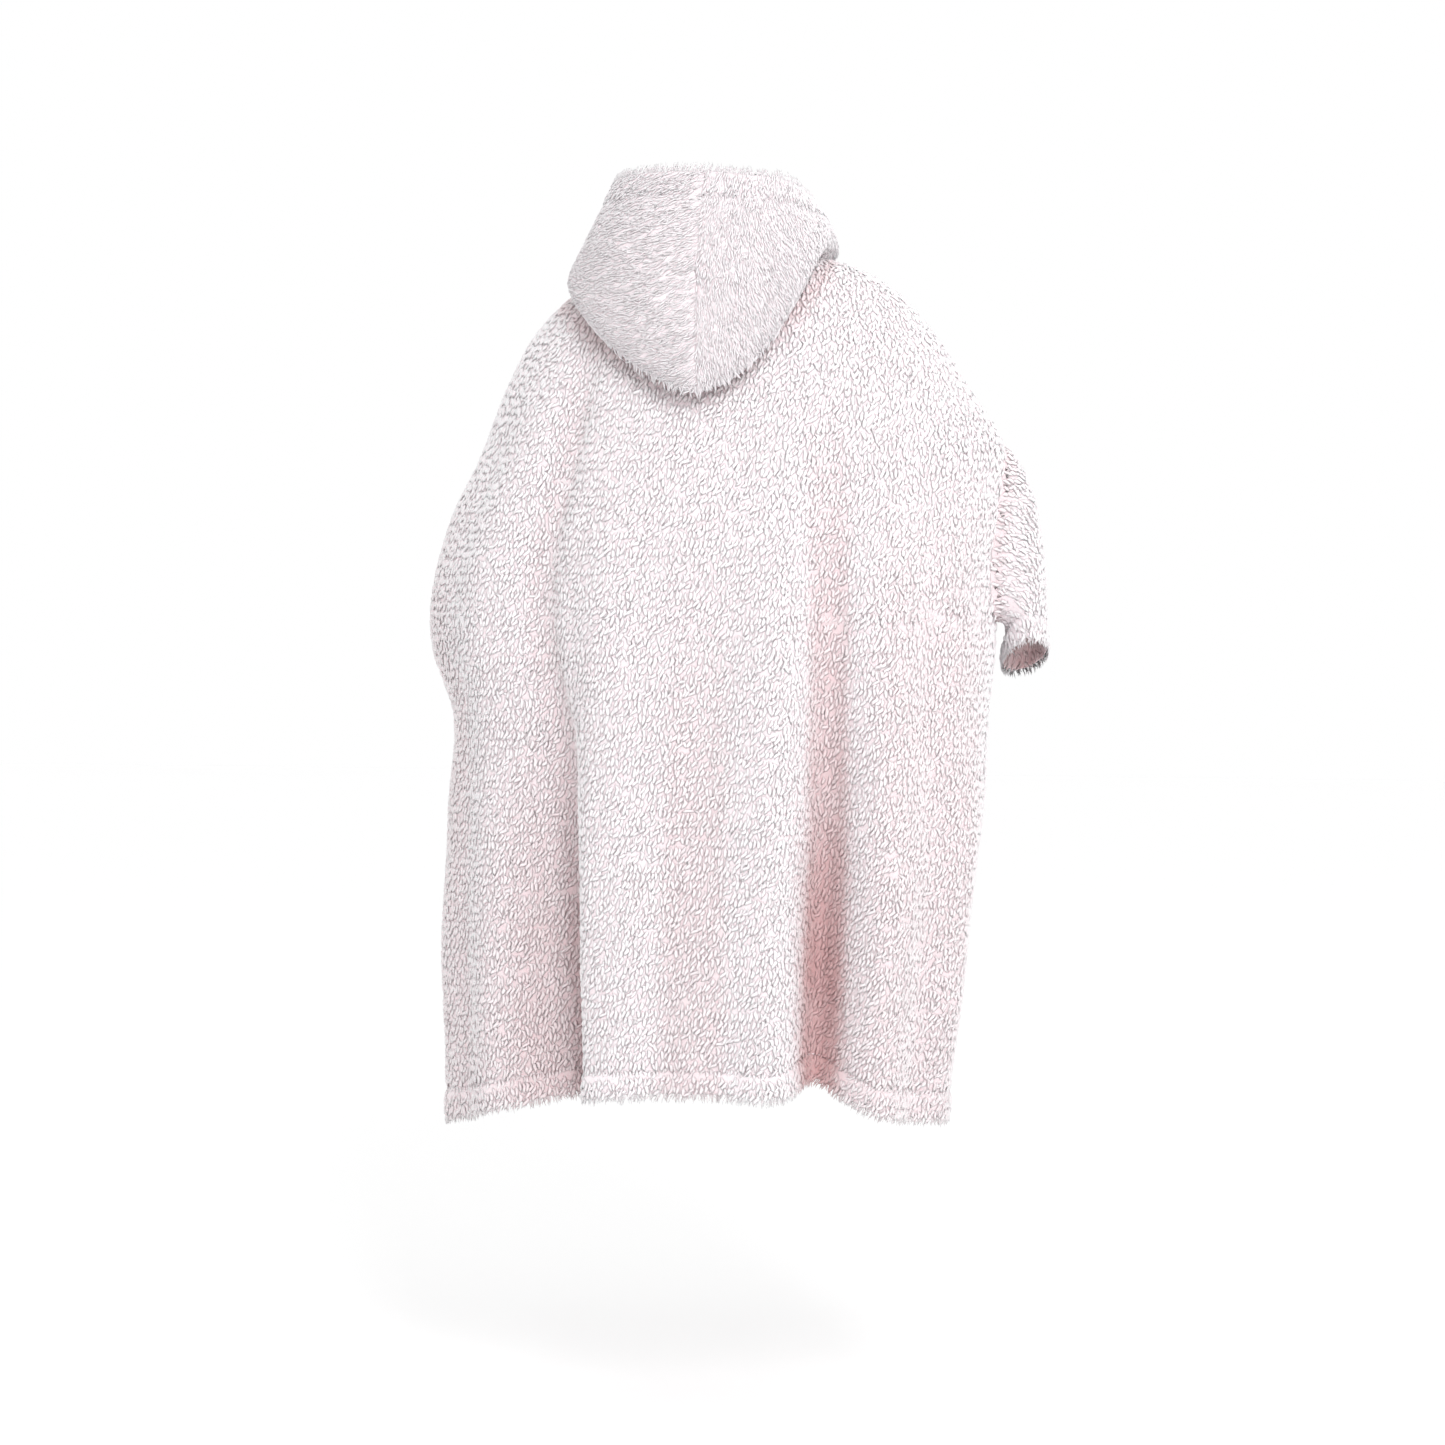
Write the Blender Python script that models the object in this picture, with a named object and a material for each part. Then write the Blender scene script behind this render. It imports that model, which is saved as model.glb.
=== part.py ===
"""Wearable blanket hoodie in teddy fleece, in the hollow form it has when it is worn.

Metres, +Z up. The origin is at the nape, where the garment hangs from the neck and shoulders.
The wearer's front is at -Y, the back at +Y, the wearer's right hand at -X.
"""
from collections import namedtuple

import bmesh
import bpy
import numpy as np

# Driving dimensions
WALL = 0.008            # fleece with its pile
SEAM_GAP = 0.0003       # between two pieces that are sewn together
HEM_LEVEL = 1.04        # length down the centre back, from nape to hem
HEM_TURN = 0.031        # depth of the turned hem at the bottom
CUFF_TURN = 0.028       # depth of the turned cuff
RIM_TURN = 0.028        # depth of the turned edge round the hood's opening
TURN_SWELL = 0.0025     # how far a turned edge stands out
STITCH_SINK = 0.0025    # how far the stitch line draws the cloth in
STITCH_WIDTH = 0.009    # width of the groove along a stitch line

ARMHOLE_TOP = 0.30      # levels of the armhole, down the body
ARMHOLE_BOTTOM = 0.50
ARMHOLE_SPREAD = 0.052  # half its width, along the body
UNDERARM_PUSH = 0.050   # how strongly a sleeve leaves the body under the arm
SLEEVE_FALL = 0.10      # how strongly its top turns down
CUFF_FALL = 0.06        # how strongly its underside runs down at the cuff

NECK_AXIS_Y = -0.020    # the hood's sections stand round this upright line
HOOD_END = 176.0        # degrees from the back to where each hood half ends in front
HOOD_CLEAR = 0.004      # the hood's pile lies this far off the body's

SHOULDER_ROWS = 10       # from neckline to armhole
SIDE_ROWS = 10           # from armhole to turned hem
BACK_COLUMNS = 40
FRONT_COLUMNS = 34
SLEEVE_RINGS = 8
ARMHOLE_STEPS = 10      # along one edge of the armhole
HOOD_COLUMNS = 15       # round one half of the hood

COLUMN_CROWD = 50.0     # extra columns at a fold, for each metre of its depth
COLUMN_REACH = 0.62     # how far round they reach, for each metre of its width
FLOOR_ROUND = 0.50      # roundness of a fold's floor, as a share of its width
RING_STEPS = 72         # chords that a ring is measured with
PROBE = 0.0015          # step that slopes are measured with

# One row for each section of the body. level is the length down the back; back, right, left
# and front give where the section passes; squareness 1 is an ellipse, less is boxier;
# the seams' places are shares of the way from centre back to centre front.
Ring = namedtuple("Ring", "level back_y back_z right right_z left left_z front_y front_z "
                          "side_y squareness seam_right seam_left")
BODY_RINGS = (
    Ring(0.00, 0.046, 0.000, 0.075, -0.008, 0.084, -0.010, -0.098, -0.070, -0.020, 1.00, 0.50, 0.50),
    Ring(0.03, 0.060, -0.026, 0.099, -0.030, 0.106, -0.033, -0.122, -0.095, -0.021, 1.00, 0.50, 0.50),
    Ring(0.06, 0.078, -0.050, 0.147, -0.045, 0.155, -0.050, -0.143, -0.123, -0.023, 1.00, 0.50, 0.50),
    Ring(0.10, 0.096, -0.086, 0.191, -0.071, 0.200, -0.073, -0.166, -0.158, -0.027, 1.00, 0.50, 0.50),
    Ring(0.16, 0.114, -0.143, 0.236, -0.119, 0.250, -0.118, -0.192, -0.208, -0.033, 1.00, 0.50, 0.53),
    Ring(0.23, 0.128, -0.212, 0.283, -0.191, 0.292, -0.190, -0.217, -0.268, -0.040, 1.00, 0.51, 0.565),
    Ring(0.30, 0.137, -0.281, 0.322, -0.255, 0.328, -0.275, -0.238, -0.332, -0.048, 1.00, 0.53, 0.60),
    Ring(0.36, 0.142, -0.341, 0.320, -0.320, 0.362, -0.336, -0.252, -0.387, -0.052, 0.99, 0.54, 0.62),
    Ring(0.45, 0.147, -0.431, 0.311, -0.415, 0.392, -0.431, -0.262, -0.468, -0.055, 0.97, 0.54, 0.635),
    Ring(0.52, 0.149, -0.501, 0.308, -0.490, 0.390, -0.502, -0.261, -0.533, -0.055, 0.96, 0.53, 0.635),
    Ring(0.60, 0.150, -0.581, 0.303, -0.575, 0.362, -0.582, -0.256, -0.608, -0.055, 0.95, 0.52, 0.61),
    Ring(0.72, 0.152, -0.701, 0.297, -0.702, 0.362, -0.706, -0.250, -0.722, -0.053, 0.93, 0.50, 0.565),
    Ring(0.86, 0.154, -0.841, 0.281, -0.853, 0.364, -0.860, -0.246, -0.857, -0.050, 0.91, 0.50, 0.52),
    Ring(1.04, 0.157, -1.021, 0.256, -1.063, 0.353, -1.083, -0.244, -1.033, -0.045, 0.90, 0.50, 0.50),
)

# One row for each fold. A fold sinks in by depth, or stands out where depth is below zero.
# Places are shares of the way from centre back (0) to centre front (1, or -1 by the left).
# The widths to its left and right, seen from behind, are in metres. lean slides its floor to the
# right; lift raises the hem in it.
Fold = namedtuple("Fold", "place_top place_hem level_top level_full depth width_left width_right "
                          "lean lift")
FOLDS = (
    # Back, from the left side to the right side
    Fold(-0.430, -0.430, 0.45, 0.80, -0.010, 0.060, 0.060, 0.000, 0.000),
    Fold(-0.300, -0.310, 0.12, 0.36, -0.013, 0.055, 0.060, 0.000, 0.000),
    Fold(-0.228, -0.202, 0.10, 0.30, 0.018, 0.046, 0.042, 0.004, 0.000),
    Fold(-0.205, -0.215, 0.44, 0.98, 0.046, 0.130, 0.058, 0.016, 0.006),
    Fold(-0.130, -0.120, 0.20, 0.55, -0.012, 0.050, 0.060, 0.000, 0.000),
    Fold(0.000, -0.010, 0.34, 0.80, 0.008, 0.075, 0.075, 0.000, 0.000),
    Fold(0.110, 0.120, 0.22, 0.55, -0.012, 0.060, 0.045, 0.000, 0.000),
    Fold(0.176, 0.205, 0.14, 0.62, 0.034, 0.062, 0.054, 0.000, 0.008),
    Fold(0.180, 0.207, 0.55, 0.95, 0.030, 0.090, 0.070, 0.000, 0.016),
    Fold(0.285, 0.305, 0.26, 0.75, -0.012, 0.060, 0.060, 0.000, 0.000),
    Fold(0.325, 0.370, 0.16, 0.40, 0.009, 0.050, 0.050, 0.000, 0.000),
    Fold(0.440, 0.450, 0.55, 0.85, -0.009, 0.050, 0.050, 0.000, 0.000),
    # Sides and front, from the right side to the left side
    Fold(0.600, 0.590, 0.52, 0.85, 0.020, 0.055, 0.060, 0.000, 0.006),
    Fold(0.680, 0.680, 0.30, 0.70, -0.013, 0.060, 0.060, 0.000, 0.000),
    Fold(0.770, 0.780, 0.22, 0.80, 0.036, 0.055, 0.060, -0.008, 0.012),
    Fold(0.880, 0.880, 0.30, 0.75, -0.012, 0.070, 0.070, 0.000, 0.000),
    Fold(1.000, 0.990, 0.36, 0.85, 0.012, 0.080, 0.080, 0.000, 0.000),
    Fold(-0.880, -0.890, 0.28, 0.70, -0.012, 0.070, 0.065, 0.000, 0.000),
    Fold(-0.780, -0.800, 0.20, 0.85, 0.030, 0.060, 0.055, 0.008, 0.010),
    Fold(-0.690, -0.700, 0.30, 0.80, -0.012, 0.060, 0.060, 0.000, 0.000),
    Fold(-0.610, -0.590, 0.58, 0.90, 0.022, 0.060, 0.060, 0.000, 0.008),
    Fold(-0.520, -0.510, 0.60, 0.90, -0.010, 0.055, 0.055, 0.000, 0.000),
)

# One row for each section of the hood, by its angle from the back, below zero to the left.
# The outward sizes are measured from the neck's axis. fold is the bottom of the hanging bag,
# belly the outer layer's middle, rim the edge of the opening, bag the hanging part's thickness,
# roll the size of the turnover above the neck seam.
HoodSection = namedtuple("HoodSection", "angle roll bag fold_out fold_z belly_out belly_z rim_out rim_z")
HOOD_SECTIONS = (
    HoodSection(-176.0, 0.68, 0.036, 0.130, -0.090, 0.134, -0.058, 0.120, -0.032),
    HoodSection(-145.0, 0.70, 0.034, 0.136, -0.074, 0.139, -0.044, 0.124, -0.014),
    HoodSection(-115.0, 0.85, 0.037, 0.161, -0.056, 0.160, -0.016, 0.134, 0.020),
    HoodSection(-90.0, 1.00, 0.040, 0.188, -0.056, 0.177, -0.008, 0.143, 0.044),
    HoodSection(-67.0, 1.00, 0.042, 0.203, -0.082, 0.184, -0.020, 0.148, 0.054),
    HoodSection(-45.0, 1.00, 0.042, 0.200, -0.128, 0.190, -0.045, 0.150, 0.056),
    HoodSection(-22.0, 1.00, 0.042, 0.190, -0.176, 0.194, -0.072, 0.148, 0.056),
    HoodSection(0.0, 1.00, 0.042, 0.188, -0.198, 0.194, -0.084, 0.146, 0.054),
    HoodSection(20.0, 1.00, 0.042, 0.184, -0.168, 0.188, -0.068, 0.144, 0.050),
    HoodSection(42.0, 1.00, 0.041, 0.163, -0.097, 0.161, -0.028, 0.134, 0.046),
    HoodSection(62.0, 0.90, 0.034, 0.142, -0.043, 0.139, 0.000, 0.114, 0.038),
    HoodSection(90.0, 0.80, 0.032, 0.125, -0.036, 0.125, -0.006, 0.103, 0.030),
    HoodSection(115.0, 0.72, 0.032, 0.124, -0.046, 0.125, -0.018, 0.107, 0.012),
    HoodSection(145.0, 0.68, 0.033, 0.130, -0.072, 0.133, -0.044, 0.119, -0.014),
    HoodSection(176.0, 0.68, 0.036, 0.130, -0.090, 0.134, -0.058, 0.120, -0.032),
)
HOOD_ROLL = ((-0.002, 0.016), (0.008, 0.028), (0.022, 0.026))  # turnover above the neck seam
HOOD_HANG = ((0.40, 0.40), (0.80, 0.12))  # under layer: share of the way out, share still hovering
FOLD_RISE = 0.33        # how far above its bottom the fold is widest, as a share of bag
STRETCH_STEPS = (1, 2, 2, 2, 2, 3, 3, 3, 4)  # grid steps between the hood's guide points

# One row for each sleeve. The cuff's middle is given from the armhole's: outward, forward, down.
Sleeve = namedtuple("Sleeve", "side out forward down half_across half_along drop_inner drop_front "
                              "shoulder_push")
SLEEVES = (
    Sleeve("right", 0.037, 0.042, 0.142, 0.029, 0.068, 0.006, 0.020, 0.160),
    Sleeve("left", 0.066, 0.026, 0.122, 0.037, 0.070, 0.006, 0.010, 0.17),
)

FLEECE_COLOUR = (0.90, 0.80, 0.80, 1.0)
FLEECE_ROUGHNESS = 0.95


def smooth_step(value):
    """Rise from 0 to 1 with level ends."""
    share = np.clip(value, 0.0, 1.0)
    return share * share * (3.0 - 2.0 * share)


def table_at(rows, stations):
    """Read a table's columns at any stations, on smooth curves through its rows."""
    table = np.array(rows)
    known = table[:, 0]
    slopes = np.gradient(table, known, axis=0)
    stations = np.asarray(stations, dtype=float)
    low = np.clip(np.searchsorted(known, stations, side="right") - 1, 0, len(known) - 2)
    span = (known[low + 1] - known[low])[..., None]
    share = (stations[..., None] - known[low][..., None]) / span
    values = (
        (1.0 + 2.0 * share) * (1.0 - share) ** 2 * table[low]
        + share * (1.0 - share) ** 2 * span * slopes[low]
        + share ** 2 * (3.0 - 2.0 * share) * table[low + 1]
        - share ** 2 * (1.0 - share) * span * slopes[low + 1]
    )
    return type(rows[0])(*np.moveaxis(values, -1, 0))


def unit(vectors):
    """Scale vectors to length one."""
    return vectors / np.linalg.norm(vectors, axis=-1, keepdims=True)


def half_ring(ring, side):
    """Outline of a section from centre back to centre front by one side, and its arc lengths."""
    angle = np.linspace(0.0, np.pi, RING_STEPS + 1)
    reach = (ring.right if side > 0 else ring.left)[:, None]
    side_z = (ring.right_z if side > 0 else ring.left_z)[:, None]
    power = ring.squareness[:, None]
    along = np.abs(np.cos(angle)) ** power
    behind = angle <= np.pi / 2.0
    end_y = np.where(behind, ring.back_y[:, None], ring.front_y[:, None])
    end_z = np.where(behind, ring.back_z[:, None], ring.front_z[:, None])
    x = -side * reach * np.sin(angle) ** power
    y = ring.side_y[:, None] + (end_y - ring.side_y[:, None]) * along
    z = side_z + (end_z - side_z) * np.cos(angle) ** 2
    outline = np.stack([x, y, z], axis=-1)
    steps = np.linalg.norm(np.diff(outline, axis=1), axis=-1)
    lengths = np.concatenate([np.zeros((len(steps), 1)), np.cumsum(steps, axis=1)], axis=1)
    return outline, lengths


def plain_body(levels, around):
    """Body without folds. around holds, for each level, places from -1 to 1."""
    ring = table_at(BODY_RINGS, levels)
    points = np.empty(around.shape + (3,))
    half_lengths = np.empty(around.shape)
    for side in (1, -1):
        outline, lengths = half_ring(ring, side)
        for row, places in enumerate(around):
            folded = np.where(places > 1.0, places - 2.0, np.where(places < -1.0, places + 2.0, places))
            here = (folded >= 0.0) if side > 0 else (folded < 0.0)
            total = lengths[row, -1]
            reach = np.abs(folded[here]) * total
            for axis in range(3):
                points[row, here, axis] = np.interp(reach, lengths[row], outline[row, :, axis])
            half_lengths[row, here] = total
    return points, half_lengths


def fold_form(share, sinks):
    """Cross-section of a fold, 1 at its middle and 0 at its edge: narrow floors, round crests."""
    share = np.clip(share, 0.0, 1.0)
    if not sinks:
        return (1.0 - share ** 2) ** 2
    narrow = (np.hypot(share, FLOOR_ROUND) - FLOOR_ROUND) / (np.hypot(1.0, FLOOR_ROUND) - FLOOR_ROUND)
    return (1.0 - narrow) ** 2


def body_points(levels, around):
    """Outer face of the body with its folds."""
    points, half_lengths = plain_body(levels, around)
    ahead = plain_body(levels, around + PROBE)[0]
    behind = plain_body(levels, around - PROBE)[0]
    along = ahead - behind
    along[..., 2] = 0.0
    along = unit(along)
    outward = np.stack([along[..., 1], -along[..., 0], np.zeros(around.shape)], axis=-1)
    depth_of = levels[:, None]
    for fold in FOLDS:
        offset = (around - fold_place(fold, depth_of) + 1.0) % 2.0 - 1.0
        width = np.where(offset < 0.0, fold.width_left, fold.width_right)
        share = np.abs(offset) * half_lengths / width
        growth = smooth_step((depth_of - fold.level_top) / (fold.level_full - fold.level_top))
        form = (fold_form(share, fold.depth > 0.0) * growth)[..., None]
        points += form * (fold.lean * along - fold.depth * outward)
        points[..., 2] += fold.lift * form[..., 0] * smooth_step((depth_of - 0.6) / 0.44)
    return points


def edge_form(distance, turn):
    """Height of a turned edge's outer face, by distance from the edge: swollen, then stitched down."""
    swell = TURN_SWELL * (1.0 - smooth_step((distance - turn * 0.70) / (turn * 0.30)))
    groove = STITCH_SINK * np.maximum(0.0, 1.0 - np.abs(distance - turn) / STITCH_WIDTH) ** 2
    return swell - groove


def body_normals(levels, around):
    """Outward directions of the body's face."""
    by_turn = body_points(levels, around + PROBE) - body_points(levels, around - PROBE)
    by_level = body_points(levels + PROBE, around) - body_points(levels - PROBE, around)
    return unit(np.cross(by_level, by_turn))


def body_wall(levels, around):
    """Outer and inner faces of the body's wall at a grid of places."""
    outer = body_points(levels, around)
    normals = body_normals(levels, around)
    relief = edge_form(HEM_LEVEL - levels, HEM_TURN)[:, None, None]
    return outer + normals * relief, outer - normals * WALL, normals


def armhole_levels(steps):
    """Levels down the armhole, close together at its two ends."""
    turn = np.linspace(0.0, np.pi, steps + 1)
    return (ARMHOLE_TOP + ARMHOLE_BOTTOM) / 2.0 - (ARMHOLE_BOTTOM - ARMHOLE_TOP) / 2.0 * np.cos(turn)


def seam_place(levels, side, towards_front):
    """Place of a side seam, opened by half the armhole where the sleeve is set in."""
    ring = table_at(BODY_RINGS, levels)
    seam = ring.seam_right if side > 0 else ring.seam_left
    total = half_ring(ring, side)[1][:, -1]
    share = (2.0 * levels - ARMHOLE_TOP - ARMHOLE_BOTTOM) / (ARMHOLE_BOTTOM - ARMHOLE_TOP)
    opening = ARMHOLE_SPREAD * np.sqrt(np.clip(1.0 - share ** 2, 0.0, 1.0)) / total
    return seam + (opening if towards_front else -opening)


def fold_place(fold, levels):
    """Where a fold's floor lies at the given levels."""
    down = (levels - fold.level_top) / (HEM_LEVEL - fold.level_top)
    return fold.place_top + (fold.place_hem - fold.place_top) * np.clip(down, 0.0, 1.0)


def spread_columns(first, last, levels, count):
    """Places of the columns, row by row, closer together where a deep fold lies."""
    fine = np.linspace(0.0, 1.0, 801)
    rows = []
    for level, start, end in zip(levels, first, last):
        places = start + (end - start) * fine
        density = np.ones_like(fine)
        for fold in FOLDS:
            reach = (fold.width_left + fold.width_right) * COLUMN_REACH
            offset = np.abs((places - fold_place(fold, level) + 1.0) % 2.0 - 1.0)
            density += COLUMN_CROWD * abs(fold.depth) * np.clip(1.0 - offset / reach, 0.0, 1.0)
        total = np.concatenate([[0.0], np.cumsum((density[1:] + density[:-1]) / 2.0)])
        rows.append(np.interp(np.linspace(0.0, total[-1], count + 1), total, places))
    return np.array(rows)


def body_levels():
    """Levels of the body's rows, with rows at the turned hem and the armhole's ends."""
    hem = HEM_LEVEL - np.array([HEM_TURN + STITCH_WIDTH, HEM_TURN, HEM_TURN * 0.75, 0.0])
    upper = ARMHOLE_TOP * np.linspace(0.0, 1.0, SHOULDER_ROWS + 1) ** 1.5
    middle = armhole_levels(ARMHOLE_STEPS)[1:]
    lower = np.linspace(ARMHOLE_BOTTOM, hem[0], SIDE_ROWS + 1)[1:-1]
    return np.concatenate([upper, middle, lower, hem])


def pull_in(points, first_row=False, last_row=False, first_column=False, last_column=False):
    """Move edges inwards by half a seam's gap, towards the next row or column."""
    moved = points.copy()
    half = SEAM_GAP / 2.0
    if first_row:
        moved[0] += half * unit(points[1] - points[0])
    if last_row:
        moved[-1] += half * unit(points[-2] - points[-1])
    if first_column:
        moved[:, 0] += half * unit(points[:, 1] - points[:, 0])
    if last_column:
        moved[:, -1] += half * unit(points[:, -2] - points[:, -1])
    return moved


def fleece_material(name):
    """Plain pale fleece."""
    material = bpy.data.materials.new(name)
    material.use_nodes = True
    shader = material.node_tree.nodes["Principled BSDF"]
    shader.inputs["Base Color"].default_value = FLEECE_COLOUR
    shader.inputs["Roughness"].default_value = FLEECE_ROUGHNESS
    shader.inputs["Metallic"].default_value = 0.0
    return material


def end_strip(build, outer, inner, swap_from):
    """Close a wall's edge with triangles cut the same way as those of the piece sewn to it."""
    for place in range(len(outer) - 1):
        a, b, c, d = outer[place], outer[place + 1], inner[place + 1], inner[place]
        if place < swap_from:
            build.faces.new((a, b, c))
            build.faces.new((a, c, d))
        else:
            build.faces.new((a, b, d))
            build.faces.new((b, c, d))


def add_wall(name, outer, inner, wraps=False):
    """One closed piece of cloth from the grids of its outer and inner faces.

    A grid that wraps is a tube, and the second half of its first edge runs upwards.
    """
    rows, columns = outer.shape[:2]
    mesh = bpy.data.meshes.new(name)
    build = bmesh.new()
    grids = []
    for face in (outer, inner):
        grid = [[build.verts.new(point) for point in row] for row in face]
        grids.append([row + row[:1] if wraps else row for row in grid])
    across = columns if wraps else columns - 1
    for grid in grids:
        for row in range(rows - 1):
            for column in range(across):
                build.faces.new((grid[row][column], grid[row][column + 1],
                                 grid[row + 1][column + 1], grid[row + 1][column]))
    swap_from = columns // 2 if wraps else columns
    for row in (0, rows - 1):
        end_strip(build, grids[0][row], grids[1][row], swap_from)
    if not wraps:
        for column in (0, columns - 1):
            end_strip(build, [row[column] for row in grids[0]], [row[column] for row in grids[1]], rows)
    bmesh.ops.recalc_face_normals(build, faces=build.faces)
    build.to_mesh(mesh)
    build.free()
    mesh.shade_smooth()
    mesh.set_sharp_from_angle(angle=np.radians(50.0))
    piece = bpy.data.objects.new(name, mesh)
    bpy.context.scene.collection.objects.link(piece)
    mesh.materials.append(fleece_material(name + "_fleece"))
    return piece


def add_back_panel():
    """Back, from the left side seam round to the right one."""
    levels = body_levels()
    first = -seam_place(levels, -1, False)
    last = seam_place(levels, 1, False)
    around = spread_columns(first, last, levels, BACK_COLUMNS)
    outer, inner, _ = body_wall(levels, around)
    edges = dict(first_column=True, last_column=True, first_row=True)
    return add_wall("back_panel", pull_in(outer, **edges), pull_in(inner, **edges))


def add_front_panel():
    """Front, from the right side seam round to the left one."""
    levels = body_levels()
    first = seam_place(levels, 1, True)
    last = 2.0 - seam_place(levels, -1, True)
    around = spread_columns(first, last, levels, FRONT_COLUMNS)
    outer, inner, _ = body_wall(levels, around)
    edges = dict(first_column=True, last_column=True, first_row=True)
    return add_wall("front_panel", pull_in(outer, **edges), pull_in(inner, **edges))


def armhole_loop(side, steps):
    """The armhole's edge on the body, down its back edge and up its front edge."""
    levels = armhole_levels(steps)
    loop = []
    directions = []
    for towards_front in (False, True):
        place = side * seam_place(levels, side, towards_front)[:, None]
        points = body_points(levels, place)[:, 0]
        normals = body_normals(levels, place)[:, 0]
        if towards_front:
            points, normals = points[::-1], normals[::-1]
        loop.append(points[:-1])
        directions.append(normals[:-1])
    return np.concatenate(loop), np.concatenate(directions)


def sleeve_points(sleeve, rings, steps):
    """Outer face of a sleeve, from the armhole's edge down to the cuff, and the body's normals."""
    side = 1 if sleeve.side == "right" else -1
    loop, directions = armhole_loop(side, steps)
    middle = loop.mean(axis=0)
    outward = unit(directions.mean(axis=0) * np.array([1.0, 1.0, 0.0]))
    forward = np.array([outward[1], -outward[0], 0.0]) * (-side)
    forward = forward if forward[1] < 0.0 else -forward
    up = np.array([0.0, 0.0, 1.0])
    turn = np.arange(len(loop)) / len(loop) * 2.0 * np.pi
    across = np.cos(turn)[:, None]
    behind = np.sin(turn)[:, None]
    centre = middle + sleeve.out * outward + sleeve.forward * forward - sleeve.down * up
    cuff = centre + sleeve.half_across * across * outward - sleeve.half_along * behind * forward
    cuff += up * (sleeve.drop_inner * across + sleeve.drop_front * behind)
    top = (1.0 + across) / 2.0
    push = UNDERARM_PUSH + (sleeve.shoulder_push - UNDERARM_PUSH) * top
    start = outward * push - up * SLEEVE_FALL * top ** 2
    end = -up * (CUFF_FALL + SLEEVE_FALL * 1.5 * top)
    share = np.linspace(0.0, 1.0, rings + 1)[:, None, None]
    points = (
        (1.0 + 2.0 * share) * (1.0 - share) ** 2 * loop
        + share * (1.0 - share) ** 2 * start
        + share ** 2 * (3.0 - 2.0 * share) * cuff
        - share ** 2 * (1.0 - share) * end
    )
    return points, directions


def wall_normals(points, wraps):
    """Directions across a grid of points, from its neighbours' places."""
    by_row = np.gradient(points, axis=0)
    if wraps:
        by_column = (np.roll(points, -1, axis=1) - np.roll(points, 1, axis=1)) / 2.0
    else:
        by_column = np.gradient(points, axis=1)
    return unit(np.cross(by_row, by_column))


def edge_distance(points):
    """Length along the cloth from each point to the last row."""
    steps = np.linalg.norm(np.diff(points, axis=0), axis=-1)
    rest = np.cumsum(steps[::-1], axis=0)[::-1]
    return np.concatenate([rest, np.zeros((1, points.shape[1]))])


def add_sleeve(sleeve):
    """One sleeve, a short wide tube from armhole to cuff."""
    points, directions = sleeve_points(sleeve, SLEEVE_RINGS, ARMHOLE_STEPS)
    normals = wall_normals(points, wraps=True)
    outward = 1.0 if np.sum(normals[-1] * (points[-1] - points[-1].mean(axis=0))) > 0.0 else -1.0
    share = smooth_step(np.linspace(0.0, SLEEVE_RINGS / 2.0, SLEEVE_RINGS + 1))[:, None, None]
    normals = unit((1.0 - share) * directions + share * outward * normals)
    relief = edge_form(edge_distance(points), CUFF_TURN)[..., None]
    relief[0] = 0.0
    outer = points + normals * relief
    inner = points - normals * WALL
    edges = dict(first_row=True)
    return add_wall("sleeve_" + sleeve.side, pull_in(outer, **edges), pull_in(inner, **edges), wraps=True)


def add_sleeves():
    for sleeve in SLEEVES:
        add_sleeve(sleeve)


def place_at_angle(angles):
    """Places along the neckline that lie at the given angles round the neck's axis."""
    fine = np.linspace(-1.0, 1.0, 721)[None, :]
    neck = body_points(np.array([0.0]), fine)[0]
    seen = np.degrees(np.unwrap(np.arctan2(-neck[:, 0], neck[:, 1] - NECK_AXIS_Y)))
    seen -= 360.0 * np.round(seen[len(seen) // 2] / 360.0)
    return np.interp(angles, seen, fine[0])


def smooth_curve(knots, stretch_steps):
    """A smooth curve through each column's guide points, with the given steps between them."""
    slopes = np.gradient(knots, axis=0)
    pieces = []
    for low, steps in enumerate(stretch_steps):
        share = np.linspace(0.0, 1.0, steps + 1)[:-1, None, None]
        pieces.append(
            (1.0 + 2.0 * share) * (1.0 - share) ** 2 * knots[low]
            + share * (1.0 - share) ** 2 * slopes[low]
            + share ** 2 * (3.0 - 2.0 * share) * knots[low + 1]
            - share ** 2 * (1.0 - share) * slopes[low + 1]
        )
    return np.concatenate(pieces + [knots[-1:]])


def ground_profiles(angles):
    """Under each section of the hood, how far out and how high the body lies, level by level."""
    levels = np.linspace(0.0, 0.30, 46)
    fine = np.linspace(-1.0, 1.0, 361)
    rings = body_points(levels, np.repeat(fine[None, :], len(levels), axis=0))
    out = np.hypot(rings[..., 0], rings[..., 1] - NECK_AXIS_Y)
    seen = np.degrees(np.unwrap(np.arctan2(-rings[..., 0], rings[..., 1] - NECK_AXIS_Y), axis=1))
    seen -= 360.0 * np.round(seen[:, 180:181] / 360.0)
    reach = np.array([np.interp(angles, seen[row], out[row]) for row in range(len(levels))])
    height = np.array([np.interp(angles, seen[row], rings[row, :, 2]) for row in range(len(levels))])
    return reach, height


def ground_height(ground, out):
    """Lowest heights that the hood's outer face may have at the given distances out."""
    reach, height = ground
    floor = np.empty(out.shape)
    for column in range(out.shape[1]):
        here = np.interp(out[:, column], reach[:, column], height[:, column])
        beside = np.interp(out[:, column] + 0.002, reach[:, column], height[:, column])
        floor[:, column] = here + HOOD_CLEAR * np.hypot(1.0, (beside - here) / 0.002)
    return floor


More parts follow.
